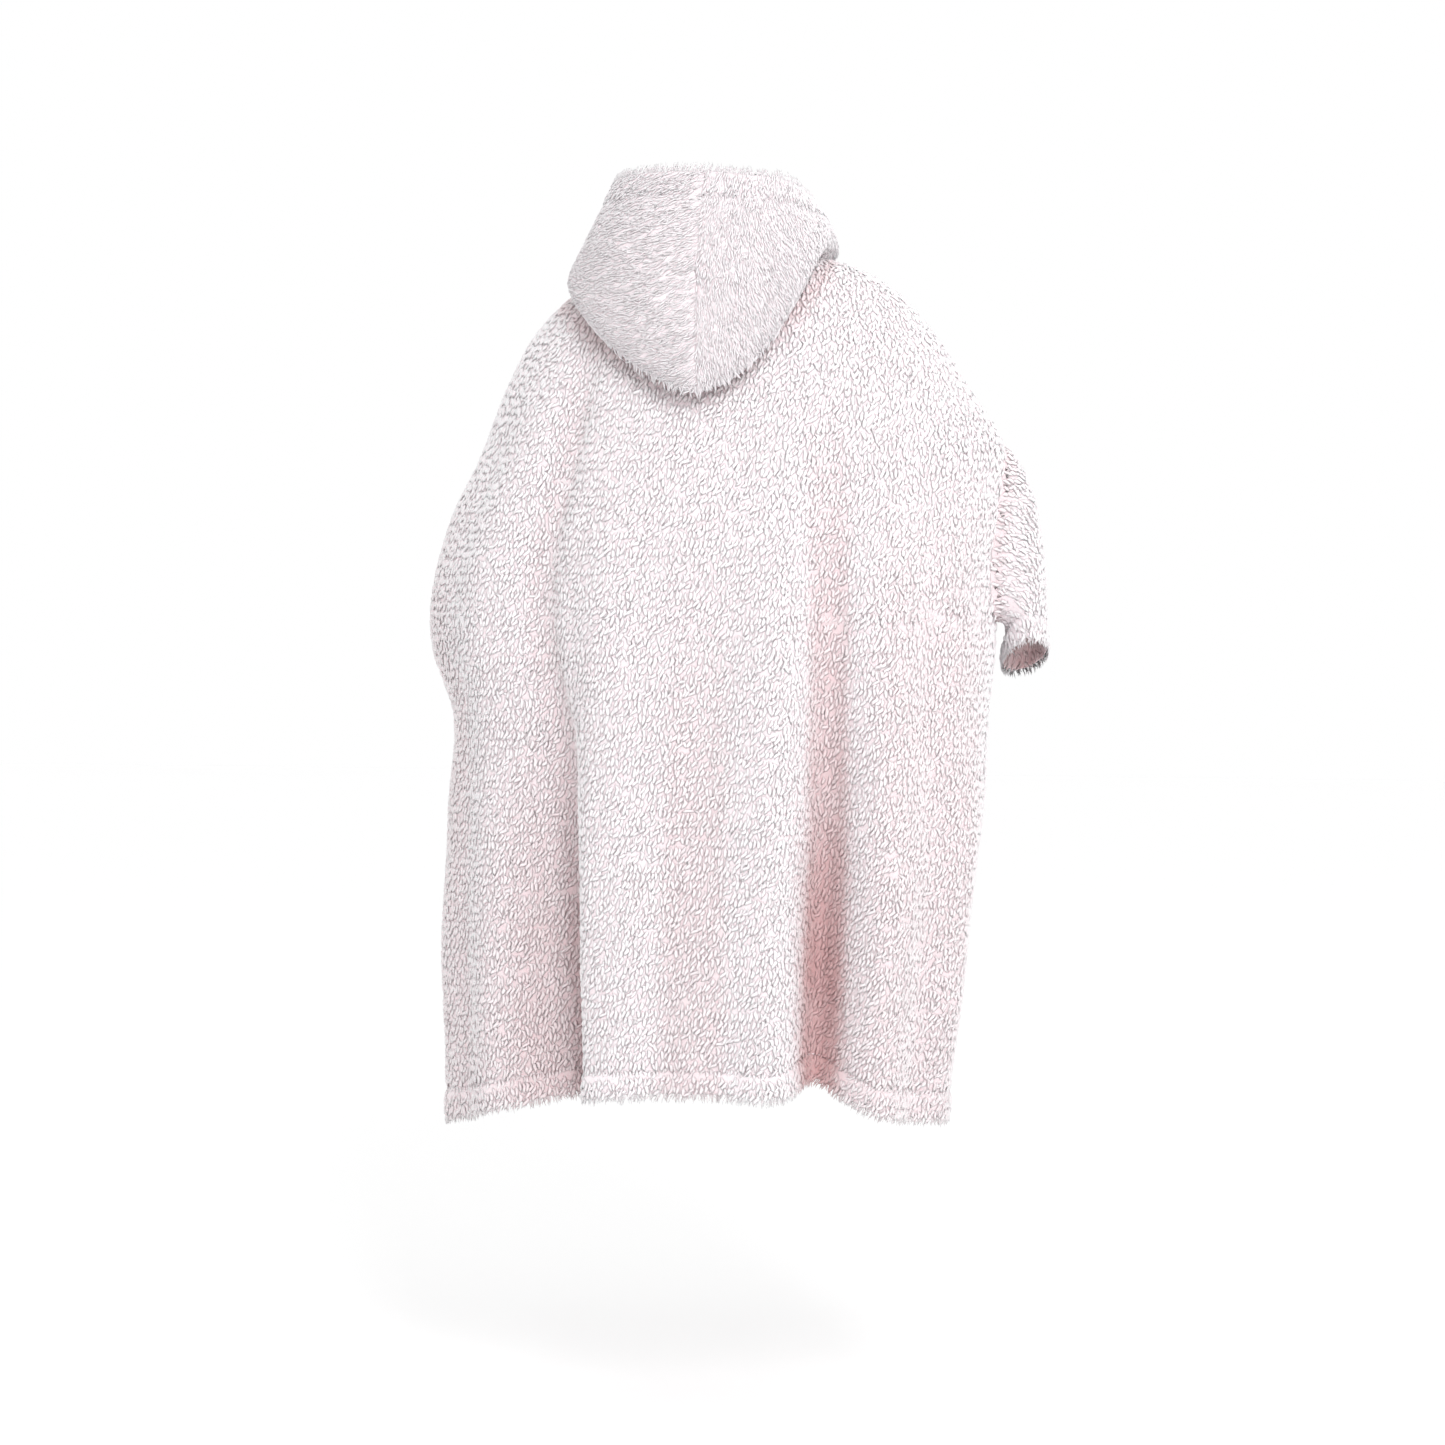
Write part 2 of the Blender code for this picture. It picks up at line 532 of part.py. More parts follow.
def hood_points(angles, stretch_steps):
    """Outer face of the hood: up from the neck seam, over, down the back and up to the rim."""
    section = table_at(HOOD_SECTIONS, angles)
    turn = np.radians(angles)
    outward = np.stack([-np.sin(turn), np.cos(turn), np.zeros_like(turn)], axis=-1)
    up = np.array([0.0, 0.0, 1.0])
    axis = np.array([0.0, NECK_AXIS_Y, 0.0])
    places = place_at_angle(angles)[None, :]
    neck = body_points(np.array([0.0]), places)[0]
    seam_normals = body_normals(np.array([0.0]), places)[0]
    start = unit(neck - body_points(np.array([PROBE]), places)[0])
    neck_out = np.hypot(neck[:, 0], neck[:, 1] - NECK_AXIS_Y)
    ground = ground_profiles(angles)

    def at(out, height):
        return axis + outward * out[:, None] + up * height[:, None]

    knots = [neck + start * SEAM_GAP]
    for out, rise in HOOD_ROLL:
        knots.append(at(neck_out + out * section.roll, neck[:, 2] + rise * section.roll))
    rolled_out = neck_out + HOOD_ROLL[-1][0] * section.roll
    rolled_z = neck[:, 2] + HOOD_ROLL[-1][1] * section.roll
    for share, hover in HOOD_HANG:
        out = rolled_out + (section.fold_out - section.bag - rolled_out) * share
        floor = ground_height(ground, out[None, :])[0]
        knots.append(at(out, floor + hover * (rolled_z - floor)))
    knots.append(at(section.fold_out - 0.55 * section.bag, section.fold_z))
    knots.append(at(section.fold_out, section.fold_z + FOLD_RISE * section.bag))
    knots.append(at(section.belly_out, section.belly_z))
    knots.append(at(section.rim_out, section.rim_z))
    points = smooth_curve(np.array(knots), stretch_steps)
    out = np.hypot(points[..., 0], points[..., 1] - NECK_AXIS_Y)
    floor = ground_height(ground, out)
    lying = sum(stretch_steps[:3])
    points[lying:, :, 2] = np.maximum(points[lying:, :, 2], floor[lying:])
    return points, seam_normals


def add_hood():
    """Two halves of the hood, sewn together at the centre back."""
    angles = HOOD_END * np.linspace(-1.0, 1.0, 2 * HOOD_COLUMNS + 1)
    points, seam_normals = hood_points(angles, STRETCH_STEPS)
    normals = wall_normals(points, wraps=False)
    if np.sum(normals[-1] * (points[-1] - np.array([0.0, NECK_AXIS_Y, 0.0]))) < 0.0:
        normals = -normals
    blend = smooth_step(np.arange(len(points)) / 2.0)[:, None, None]
    normals = unit((1.0 - blend) * seam_normals + blend * normals)
    relief = edge_form(edge_distance(points), RIM_TURN)[..., None]
    outer = points + normals * relief
    inner = points - normals * WALL
    left = slice(0, HOOD_COLUMNS + 1)
    right = slice(HOOD_COLUMNS, None)
    for name, half, edges in (("hood_left", left, dict(last_column=True)),
                              ("hood_right", right, dict(first_column=True))):
        add_wall(name, pull_in(outer[:, half], first_row=True, **edges),
                 pull_in(inner[:, half], first_row=True, **edges))


def clear_scene():
    for item in list(bpy.data.objects):
        bpy.data.objects.remove(item, do_unlink=True)


clear_scene()
add_back_panel()
add_front_panel()
add_sleeves()
add_hood()
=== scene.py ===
from collections import namedtuple

import bpy
import numpy as np
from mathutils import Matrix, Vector


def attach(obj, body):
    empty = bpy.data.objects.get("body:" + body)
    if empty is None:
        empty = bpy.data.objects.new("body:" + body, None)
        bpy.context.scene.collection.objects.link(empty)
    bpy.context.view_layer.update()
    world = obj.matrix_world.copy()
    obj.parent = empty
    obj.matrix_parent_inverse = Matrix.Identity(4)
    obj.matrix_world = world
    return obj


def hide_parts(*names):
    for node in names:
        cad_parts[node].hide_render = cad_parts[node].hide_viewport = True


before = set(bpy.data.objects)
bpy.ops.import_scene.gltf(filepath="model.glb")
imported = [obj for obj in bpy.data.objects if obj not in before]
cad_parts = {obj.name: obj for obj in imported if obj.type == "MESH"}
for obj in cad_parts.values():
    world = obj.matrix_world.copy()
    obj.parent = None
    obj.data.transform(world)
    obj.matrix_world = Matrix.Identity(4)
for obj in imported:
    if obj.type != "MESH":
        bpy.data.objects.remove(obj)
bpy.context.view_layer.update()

# The solids' dimensions
HEM_LEVEL = 1.04        # length down the centre back, from nape to hem
HEM_TURN = 0.031        # depth of the turned hem at the bottom
CUFF_TURN = 0.028       # depth of the turned cuff
RIM_TURN = 0.028        # depth of the turned edge round the hood's opening
TURN_SWELL = 0.0025     # how far a turned edge stands out
STITCH_SINK = 0.0025    # how far the stitch line draws the cloth in
STITCH_WIDTH = 0.009    # width of the groove along a stitch line
SEAM_GAP = 0.0003       # between two pieces that are sewn together
ARMHOLE_TOP = 0.30      # levels of the armhole, down the body
ARMHOLE_BOTTOM = 0.50
ARMHOLE_SPREAD = 0.052  # half its width, along the body
UNDERARM_PUSH = 0.050   # how strongly a sleeve leaves the body under the arm
SLEEVE_FALL = 0.10      # how strongly its top turns down
CUFF_FALL = 0.06        # how strongly its underside runs down at the cuff
NECK_AXIS_Y = -0.020    # the hood's sections stand round this upright line
HOOD_END = 176.0        # degrees from the back to where each hood half ends in front
HOOD_CLEAR = 0.004      # the hood's pile lies this far off the body's
FLOOR_ROUND = 0.50      # roundness of a fold's floor, as a share of its width
RING_STEPS = 72         # chords that a ring is measured with
UP = np.array([0.0, 0.0, 1.0])
PROBE = 0.0015       # step that slopes are measured with
LIFT_START = 0.6     # the hem's lift begins at this level
LIFT_SPAN = 0.44     # and is full so much further down
SWELL_SHARE = 0.70   # a turned edge is swollen over this share of its width
SWELL_END = 0.30     # and the swelling ends over this one
NECK_PLACES = 721    # places that the neckline is measured at
GROUND_END = 0.30    # the hood hangs over no level below this one
GROUND_LEVELS = 46   # levels that the body under it is measured at
GROUND_PLACES = 361  # and places on each
GROUND_PROBE = 0.002

# Cloth
SHELL_SINK = 0.0036   # the knitted backing lies this far under the pile's tips
HOOD_SINK = 0.0030    # the same for the hood's shorter pile
LINING_SINK = 0.0018  # and on the inside, where the cloth's other face shows
SHELL_WALL = 0.0018   # thickness of the backing
HEM_SHORT = 0.004     # the backing ends this far above the fringe's tips
RIM_RELIEF = 0.5      # the hood's turned edge stands out this much as the solid's
SEAM_DIP = 0.0008     # how far a seam draws the hood's backing in
SEAM_REACH = 0.007    # how far from a seam the cloth changes its form
SEAM_RISE = 0.6       # the pile stands higher by this share of its depth over the body's seams
BARE_LINE = 0.0015    # the pile is parted this far to each side of a line
BARE_SHARE = 0.4      # share of this that has no pile
STANDING_SHARE = 1.8  # and over this share the pile comes back
FAR = 1.0             # a distance from a seam where nothing is parted

# Painted shade, as shares of the way from the pile's colour to the painted shade colour deep in a fold
PAINTED_SHADE_WIDTH = 0.55   # a fold is painted with shade over this share of its width
PAINTED_SHADE_EDGE = 1.9     # how sharply the painted shade on a fold's floor ends
SLEEVE_PAINTED_SHADE = 0.22  # painted shade on a sleeve's pile beside the armhole, where it meets the body
SLEEVE_PAINTED_SHADE_REACH = 0.030
HOOD_PAINTED_SHADOW = 0.50    # painted shadow on the body's pile along the hood's lower edge
HOOD_PAINTED_SHADOW_REACH = 0.022
ROLL_PAINTED_SHADE = 0.30    # painted shade on the hood's pile where it turns over the neck seam, under the hanging layer
LINING_PAINTED_SHADE = 0.30  # painted shade on the cloth's inside
CUFF_PAINTED_SHADE = 0.70    # and this much painted shade inside a sleeve
# The hood's lower edge as it lies on the back, where its shadow is painted: how far to the right of the
# garment's axis, height
HOOD_EDGE = ((-0.21, -0.075), (-0.176, -0.112), (-0.142, -0.143), (-0.103, -0.167), (-0.067, -0.185),
             (-0.041, -0.190), (-0.007, -0.180), (0.019, -0.158), (0.053, -0.122), (0.084, -0.094),
             (0.110, -0.058), (0.124, -0.031))

# One row for each section of the body. level is the length down the back; back, right, left
# and front give where the section passes; squareness 1 is an ellipse, less is boxier;
# the seams' places are shares of the way from centre back to centre front.
Ring = namedtuple("Ring", "level back_y back_z right right_z left left_z front_y front_z "
                          "side_y squareness seam_right seam_left")
BODY_RINGS = (
    Ring(0.0, 0.046, 0.0, 0.075, -0.008, 0.084, -0.01, -0.098, -0.07, -0.02, 1.0, 0.5, 0.5),
    Ring(0.03, 0.06, -0.026, 0.099, -0.03, 0.106, -0.033, -0.122, -0.095, -0.021, 1.0, 0.5, 0.5),
    Ring(0.06, 0.078, -0.05, 0.147, -0.045, 0.155, -0.05, -0.143, -0.123, -0.023, 1.0, 0.5, 0.5),
    Ring(0.1, 0.096, -0.086, 0.191, -0.071, 0.2, -0.073, -0.166, -0.158, -0.027, 1.0, 0.5, 0.5),
    Ring(0.16, 0.114, -0.143, 0.236, -0.119, 0.25, -0.118, -0.192, -0.208, -0.033, 1.0, 0.5, 0.53),
    Ring(0.23, 0.128, -0.212, 0.283, -0.191, 0.292, -0.19, -0.217, -0.268, -0.04, 1.0, 0.51, 0.565),
    Ring(0.3, 0.137, -0.281, 0.322, -0.255, 0.328, -0.275, -0.238, -0.332, -0.048, 1.0, 0.53, 0.6),
    Ring(0.36, 0.142, -0.341, 0.32, -0.32, 0.362, -0.336, -0.252, -0.387, -0.052, 0.99, 0.54, 0.62),
    Ring(0.45, 0.147, -0.431, 0.311, -0.415, 0.392, -0.431, -0.262, -0.468, -0.055, 0.97, 0.54, 0.635),
    Ring(0.52, 0.149, -0.501, 0.308, -0.49, 0.39, -0.502, -0.261, -0.533, -0.055, 0.96, 0.53, 0.635),
    Ring(0.6, 0.15, -0.581, 0.303, -0.575, 0.362, -0.582, -0.256, -0.608, -0.055, 0.95, 0.52, 0.61),
    Ring(0.72, 0.152, -0.701, 0.297, -0.702, 0.362, -0.706, -0.25, -0.722, -0.053, 0.93, 0.5, 0.565),
    Ring(0.86, 0.154, -0.841, 0.281, -0.853, 0.364, -0.86, -0.246, -0.857, -0.05, 0.91, 0.5, 0.52),
    Ring(1.04, 0.157, -1.021, 0.256, -1.063, 0.353, -1.083, -0.244, -1.033, -0.045, 0.9, 0.5, 0.5),
)

# One row for each fold. A fold sinks in by depth, or stands out where depth is below zero.
# Places are shares of the way from centre back (0) to centre front (1, or -1 by the left).
# The widths to its left and right, seen from behind, are in metres. lean slides its floor to the
# right; lift raises the hem in it; and the last column is how much shade is painted on its floor.
# A fold without depth is only a stretch of painted shade on the cloth.
Fold = namedtuple("Fold", "place_top place_hem level_top level_full depth width_left width_right "
                          "lean lift blush", defaults=(0.0, 0.0, 0.0))
FOLDS = (
    # Back, from the left side to the right side
    # The next three rows have no depth: they only paint shade where the cloth's sides turn from the light.
    Fold(-0.48, -0.45, 0.25, 0.55, 0.0, 0.26, 0.2, blush=0.22),
    Fold(-0.235, -0.245, 0.44, 0.98, 0.0, 0.16, 0.085, blush=0.2),
    Fold(0.34, 0.35, 0.25, 0.6, 0.0, 0.2, 0.26, blush=0.2),
    Fold(-0.43, -0.43, 0.45, 0.8, -0.01, 0.06, 0.06),
    Fold(-0.3, -0.31, 0.12, 0.36, -0.013, 0.055, 0.06),
    Fold(-0.228, -0.202, 0.1, 0.3, 0.018, 0.046, 0.042, 0.004, 0.0, 0.14),
    Fold(-0.205, -0.215, 0.44, 0.98, 0.046, 0.13, 0.058, 0.016, 0.006, 0.25),
    Fold(-0.13, -0.12, 0.2, 0.55, -0.012, 0.05, 0.06),
    Fold(0.0, -0.01, 0.34, 0.8, 0.008, 0.085, 0.085, blush=0.22),
    Fold(0.11, 0.12, 0.22, 0.55, -0.012, 0.06, 0.045),
    Fold(0.176, 0.205, 0.14, 0.62, 0.034, 0.062, 0.054, lift=0.008, blush=0.46),
    Fold(0.18, 0.207, 0.55, 0.95, 0.03, 0.09, 0.07, lift=0.016, blush=0.54),
    Fold(0.285, 0.305, 0.26, 0.75, -0.012, 0.06, 0.06),
    Fold(0.325, 0.37, 0.16, 0.4, 0.009, 0.05, 0.05),
    Fold(0.44, 0.45, 0.55, 0.85, -0.009, 0.05, 0.05),
    # Sides and front, from the right side to the left side
    Fold(0.6, 0.59, 0.52, 0.85, 0.02, 0.055, 0.06, lift=0.006, blush=0.12),
    Fold(0.68, 0.68, 0.3, 0.7, -0.013, 0.06, 0.06),
    Fold(0.77, 0.78, 0.22, 0.8, 0.036, 0.055, 0.06, -0.008, 0.012, 0.35),
    Fold(0.88, 0.88, 0.3, 0.75, -0.012, 0.07, 0.07),
    Fold(1.0, 0.99, 0.36, 0.85, 0.012, 0.08, 0.08),
    Fold(-0.88, -0.89, 0.28, 0.7, -0.012, 0.07, 0.065),
    Fold(-0.78, -0.8, 0.2, 0.85, 0.03, 0.06, 0.055, 0.008, 0.01, 0.35),
    Fold(-0.69, -0.7, 0.3, 0.8, -0.012, 0.06, 0.06),
    Fold(-0.61, -0.59, 0.58, 0.9, 0.022, 0.06, 0.06, lift=0.008, blush=0.12),
    Fold(-0.52, -0.51, 0.6, 0.9, -0.01, 0.055, 0.055),
)

# One row for each section of the hood, by its angle from the back, below zero to the left.
# The outward sizes are measured from the neck's axis. fold is the bottom of the hanging bag,
# belly the outer layer's middle, rim the edge of the opening, bag the hanging part's thickness,
# roll the size of the turnover above the neck seam.
Section = namedtuple("Section", "angle roll bag fold_out fold_z belly_out belly_z rim_out rim_z")
HOOD_SECTIONS = (
    Section(-176.0, 0.68, 0.036, 0.13, -0.09, 0.134, -0.058, 0.12, -0.032),
    Section(-145.0, 0.7, 0.034, 0.136, -0.074, 0.139, -0.044, 0.124, -0.014),
    Section(-115.0, 0.85, 0.037, 0.161, -0.056, 0.16, -0.016, 0.134, 0.02),
    Section(-90.0, 1.0, 0.04, 0.188, -0.056, 0.177, -0.008, 0.143, 0.044),
    Section(-67.0, 1.0, 0.042, 0.203, -0.082, 0.184, -0.02, 0.148, 0.054),
    Section(-45.0, 1.0, 0.042, 0.2, -0.128, 0.19, -0.045, 0.15, 0.056),
    Section(-22.0, 1.0, 0.042, 0.19, -0.176, 0.194, -0.072, 0.148, 0.056),
    Section(0.0, 1.0, 0.042, 0.188, -0.198, 0.194, -0.084, 0.146, 0.054),
    Section(20.0, 1.0, 0.042, 0.184, -0.168, 0.188, -0.068, 0.144, 0.05),
    Section(42.0, 1.0, 0.041, 0.163, -0.097, 0.161, -0.028, 0.134, 0.046),
    Section(62.0, 0.9, 0.034, 0.142, -0.043, 0.139, 0.0, 0.114, 0.038),
    Section(90.0, 0.8, 0.032, 0.125, -0.036, 0.125, -0.006, 0.103, 0.03),
    Section(115.0, 0.72, 0.032, 0.124, -0.046, 0.125, -0.018, 0.107, 0.012),
    Section(145.0, 0.68, 0.033, 0.13, -0.072, 0.133, -0.044, 0.119, -0.014),
    Section(176.0, 0.68, 0.036, 0.13, -0.09, 0.134, -0.058, 0.12, -0.032),
)
HOOD_ROLL = ((-0.002, 0.016), (0.008, 0.028), (0.022, 0.026))  # turnover above the neck seam
HOOD_HANG = ((0.40, 0.40), (0.80, 0.12))  # under layer: share of the way out, share still hovering
FOLD_RISE = 0.33   # how far above its bottom the fold is widest, as a share of bag
FOLD_UNDER = 0.55  # how far inside its widest place its bottom is, as a share of bag

# One row for each sleeve. The cuff's middle is given from the armhole's: outward, forward, down.
Sleeve = namedtuple("Sleeve", "side out forward down half_across half_along drop_inner drop_front "
                              "shoulder_push")
SLEEVES = (
    Sleeve("right", 0.037, 0.042, 0.142, 0.029, 0.068, 0.006, 0.02, 0.16),
    Sleeve("left", 0.066, 0.026, 0.122, 0.037, 0.07, 0.006, 0.01, 0.17),
)

# Soft uneven creases over the whole cloth: waves round the body, waves in a metre down it, phase,
# height, and the levels where they begin and are full.
Crease = namedtuple("Crease", "waves_round waves_down phase height level_first level_full")
CREASES = (
    Crease(9, 1.3, 0.4, 0.0014, 0.1, 0.4),
    Crease(13, -1.1, 2.1, 0.0013, 0.16, 0.5),
    Crease(19, 1.7, 4.0, 0.001, 0.24, 0.6),
    Crease(27, -0.8, 1.0, 0.0008, 0.4, 0.9),
    Crease(6, 5.5, 5.2, 0.001, 0.1, 0.4),
)
HOOD_DIMPLE_Z = -0.094  # height of the dimple on the hood's centre seam
HOOD_DIMPLE_REACH = 0.026
HOOD_DIMPLE_DEPTH = 0.006


def smooth_step(value):
    """Rise from 0 to 1 with level ends."""
    share = np.clip(value, 0.0, 1.0)
    return share * share * (3.0 - 2.0 * share)


def curve_between(share, first, last, first_slope, last_slope):
    """A smooth curve from first to last with the given slopes at its ends."""
    return (
        (1.0 + 2.0 * share) * (1.0 - share) ** 2 * first
        + share * (1.0 - share) ** 2 * first_slope
        + share ** 2 * (3.0 - 2.0 * share) * last
        - share ** 2 * (1.0 - share) * last_slope
    )


def table_at(rows, stations):
    """Read a table's columns at any stations, on smooth curves through its rows."""
    table = np.array(rows)
    known = table[:, 0]
    slopes = np.gradient(table, known, axis=0)
    stations = np.asarray(stations, dtype=float)
    low = np.clip(np.searchsorted(known, stations, side="right") - 1, 0, len(known) - 2)
    span = (known[low + 1] - known[low])[..., None]
    share = (stations[..., None] - known[low][..., None]) / span
    values = curve_between(share, table[low], table[low + 1], span * slopes[low], span * slopes[low + 1])
    return type(rows[0])(*np.moveaxis(values, -1, 0))


def unit(vectors):
    """Scale vectors to length one."""
    return vectors / np.linalg.norm(vectors, axis=-1, keepdims=True)


def lengths_along(lines):
    """Length from the first point of each line to all its points."""
    steps = np.linalg.norm(np.diff(lines, axis=-2), axis=-1)
    return np.concatenate([np.zeros(steps.shape[:-1] + (1,)), np.cumsum(steps, axis=-1)], axis=-1)


def half_ring(ring, side):
    """Outline of a section from centre back to centre front by one side, and its arc lengths."""
    angle = np.linspace(0.0, np.pi, RING_STEPS + 1)
    reach = (ring.right if side > 0 else ring.left)[:, None]
    side_z = (ring.right_z if side > 0 else ring.left_z)[:, None]
    power = ring.squareness[:, None]
    along = np.abs(np.cos(angle)) ** power
    behind = angle <= np.pi / 2.0
    end_y = np.where(behind, ring.back_y[:, None], ring.front_y[:, None])
    end_z = np.where(behind, ring.back_z[:, None], ring.front_z[:, None])
    x = -side * reach * np.sin(angle) ** power
    y = ring.side_y[:, None] + (end_y - ring.side_y[:, None]) * along
    z = side_z + (end_z - side_z) * np.cos(angle) ** 2
    outline = np.stack([x, y, z], axis=-1)
    return outline, lengths_along(outline)


def plain_body(levels, around):
    """Body without folds. around holds, for each level, places from -1 to 1."""
    ring = table_at(BODY_RINGS, levels)
    points = np.empty(around.shape + (3,))
    half_lengths = np.empty(around.shape)
    for side in (1, -1):
        outline, lengths = half_ring(ring, side)
        for row, places in enumerate(around):
            folded = np.where(places > 1.0, places - 2.0, np.where(places < -1.0, places + 2.0, places))
            here = (folded >= 0.0) if side > 0 else (folded < 0.0)
            total = lengths[row, -1]
            reach = np.abs(folded[here]) * total
            for axis in range(3):
                points[row, here, axis] = np.interp(reach, lengths[row], outline[row, :, axis])
            half_lengths[row, here] = total
    return points, half_lengths


def fold_form(share, sinks):
    """Cross-section of a fold, 1 at its middle and 0 at its edge: narrow floors, round crests."""
    share = np.clip(share, 0.0, 1.0)
    if not sinks:
        return (1.0 - share ** 2) ** 2
    narrow = (np.hypot(share, FLOOR_ROUND) - FLOOR_ROUND) / (np.hypot(1.0, FLOOR_ROUND) - FLOOR_ROUND)
    return (1.0 - narrow) ** 2


def fold_at(fold, around, levels):
    """How far places lie from a fold's floor, its width on their side, and its growth there."""
    down = (levels - fold.level_top) / (HEM_LEVEL - fold.level_top)
    floor = fold.place_top + (fold.place_hem - fold.place_top) * np.clip(down, 0.0, 1.0)
    offset = (around - floor + 1.0) % 2.0 - 1.0
    width = np.where(offset < 0.0, fold.width_left, fold.width_right)
    growth = smooth_step((levels - fold.level_top) / (fold.level_full - fold.level_top))
    return np.abs(offset), width, growth


def body_points(levels, around):
    """Outer face of the body with its folds."""
    points, half_lengths = plain_body(levels, around)
    along = plain_body(levels, around + PROBE)[0] - plain_body(levels, around - PROBE)[0]
    along[..., 2] = 0.0
    along = unit(along)
    outward = np.stack([along[..., 1], -along[..., 0], np.zeros(around.shape)], axis=-1)
    depth_of = levels[:, None]
    for fold in FOLDS:
        offset, width, growth = fold_at(fold, around, depth_of)
        share = offset * half_lengths / width
        form = (fold_form(share, fold.depth > 0.0) * growth)[..., None]
        points += form * (fold.lean * along - fold.depth * outward)
        points[..., 2] += fold.lift * form[..., 0] * smooth_step((depth_of - LIFT_START) / LIFT_SPAN)
    for crease in CREASES:
        wave = np.sin(np.pi * crease.waves_round * around + 2.0 * np.pi * crease.waves_down * depth_of
                      + crease.phase)
        growth = smooth_step((depth_of - crease.level_first) / (crease.level_full - crease.level_first))
        points += (crease.height * wave * growth)[..., None] * outward
    return points


def edge_form(distance, turn):
    """Height of a turned edge's outer face, by distance from the edge: swollen, then stitched down."""
    swell = TURN_SWELL * (1.0 - smooth_step((distance - turn * SWELL_SHARE) / (turn * SWELL_END)))
    groove = STITCH_SINK * np.maximum(0.0, 1.0 - np.abs(distance - turn) / STITCH_WIDTH) ** 2
    return swell - groove


def body_normals(levels, around):
    """Outward directions of the body's face."""
    by_turn = body_points(levels, around + PROBE) - body_points(levels, around - PROBE)
    by_level = body_points(levels + PROBE, around) - body_points(levels - PROBE, around)
    return unit(np.cross(by_level, by_turn))


def armhole_levels(steps):
    """Levels down the armhole, close together at its two ends."""
    turn = np.linspace(0.0, np.pi, steps + 1)
    return (ARMHOLE_TOP + ARMHOLE_BOTTOM) / 2.0 - (ARMHOLE_BOTTOM - ARMHOLE_TOP) / 2.0 * np.cos(turn)


def seam_place(levels, side, towards_front):
    """Place of a side seam, opened by half the armhole where the sleeve is set in."""
    ring = table_at(BODY_RINGS, levels)
    seam = ring.seam_right if side > 0 else ring.seam_left
    total = half_ring(ring, side)[1][:, -1]
    share = (2.0 * levels - ARMHOLE_TOP - ARMHOLE_BOTTOM) / (ARMHOLE_BOTTOM - ARMHOLE_TOP)
    opening = ARMHOLE_SPREAD * np.sqrt(np.clip(1.0 - share ** 2, 0.0, 1.0)) / total
    return seam + (opening if towards_front else -opening)


def armhole_loop(side, steps):
    """The armhole's edge on the body, down its back edge and up its front edge."""
    levels = armhole_levels(steps)
    loop = []
    directions = []
    for towards_front, order in ((False, 1), (True, -1)):
        place = side * seam_place(levels, side, towards_front)[:, None]
        loop.append(body_points(levels, place)[::order, 0][:-1])
        directions.append(body_normals(levels, place)[::order, 0][:-1])
    return np.concatenate(loop), np.concatenate(directions)


def sleeve_points(sleeve, rings, steps):
    """Outer face of a sleeve, from the armhole's edge down to the cuff, and the body's normals."""
    side = 1 if sleeve.side == "right" else -1
    loop, directions = armhole_loop(side, steps)
    middle = loop.mean(axis=0)
    outward = unit(directions.mean(axis=0) * np.array([1.0, 1.0, 0.0]))
    forward = np.array([outward[1], -outward[0], 0.0]) * (-side)
    forward = forward if forward[1] < 0.0 else -forward
    turn = np.arange(len(loop)) / len(loop) * 2.0 * np.pi
    across = np.cos(turn)[:, None]
    behind = np.sin(turn)[:, None]
    centre = middle + sleeve.out * outward + sleeve.forward * forward - sleeve.down * UP
    cuff = centre + sleeve.half_across * across * outward - sleeve.half_along * behind * forward
    cuff += UP * (sleeve.drop_inner * across + sleeve.drop_front * behind)
    top = (1.0 + across) / 2.0
    push = UNDERARM_PUSH + (sleeve.shoulder_push - UNDERARM_PUSH) * top
    start = outward * push - UP * SLEEVE_FALL * top ** 2
    end = -UP * (CUFF_FALL + SLEEVE_FALL * 1.5 * top)
    share = np.linspace(0.0, 1.0, rings + 1)[:, None, None]
    return curve_between(share, loop, cuff, start, end), directions


def edge_distance(points):
    """Length along the cloth from each point to the last row."""
    steps = np.linalg.norm(np.diff(points, axis=0), axis=-1)
    rest = np.cumsum(steps[::-1], axis=0)[::-1]
    return np.concatenate([rest, np.zeros((1, points.shape[1]))])


def distance_out(points):
    """Distance of points from the neck's axis."""
    return np.hypot(points[..., 0], points[..., 1] - NECK_AXIS_Y)


def seen_angles(rings):
    """Angles round the neck's axis, from the back, at which the points of whole sections lie."""
    seen = np.degrees(np.unwrap(np.arctan2(-rings[..., 0], rings[..., 1] - NECK_AXIS_Y)))
    return seen - 360.0 * np.round(seen[..., seen.shape[-1] // 2, None] / 360.0)


def place_at_angle(angles):
    """Places along the neckline that lie at the given angles round the neck's axis."""
    fine = np.linspace(-1.0, 1.0, NECK_PLACES)[None, :]
    neck = body_points(np.array([0.0]), fine)[0]
    return np.interp(angles, seen_angles(neck), fine[0])


def smooth_curve(knots, stretch_steps):
    """A smooth curve through each column's guide points, with the given steps between them."""
    slopes = np.gradient(knots, axis=0)
    pieces = []
    for low, steps in enumerate(stretch_steps):
        share = np.linspace(0.0, 1.0, steps + 1)[:-1, None, None]
        pieces.append(curve_between(share, knots[low], knots[low + 1], slopes[low], slopes[low + 1]))
    return np.concatenate(pieces + [knots[-1:]])


def ground_profiles(angles):
    """Under each section of the hood, how far out and how high the body lies, level by level."""
    levels = np.linspace(0.0, GROUND_END, GROUND_LEVELS)
    fine = np.linspace(-1.0, 1.0, GROUND_PLACES)
    rings = body_points(levels, np.repeat(fine[None, :], len(levels), axis=0))
    seen = seen_angles(rings)
    return [np.array([np.interp(angles, *line) for line in zip(seen, sizes)])
            for sizes in (distance_out(rings), rings[..., 2])]


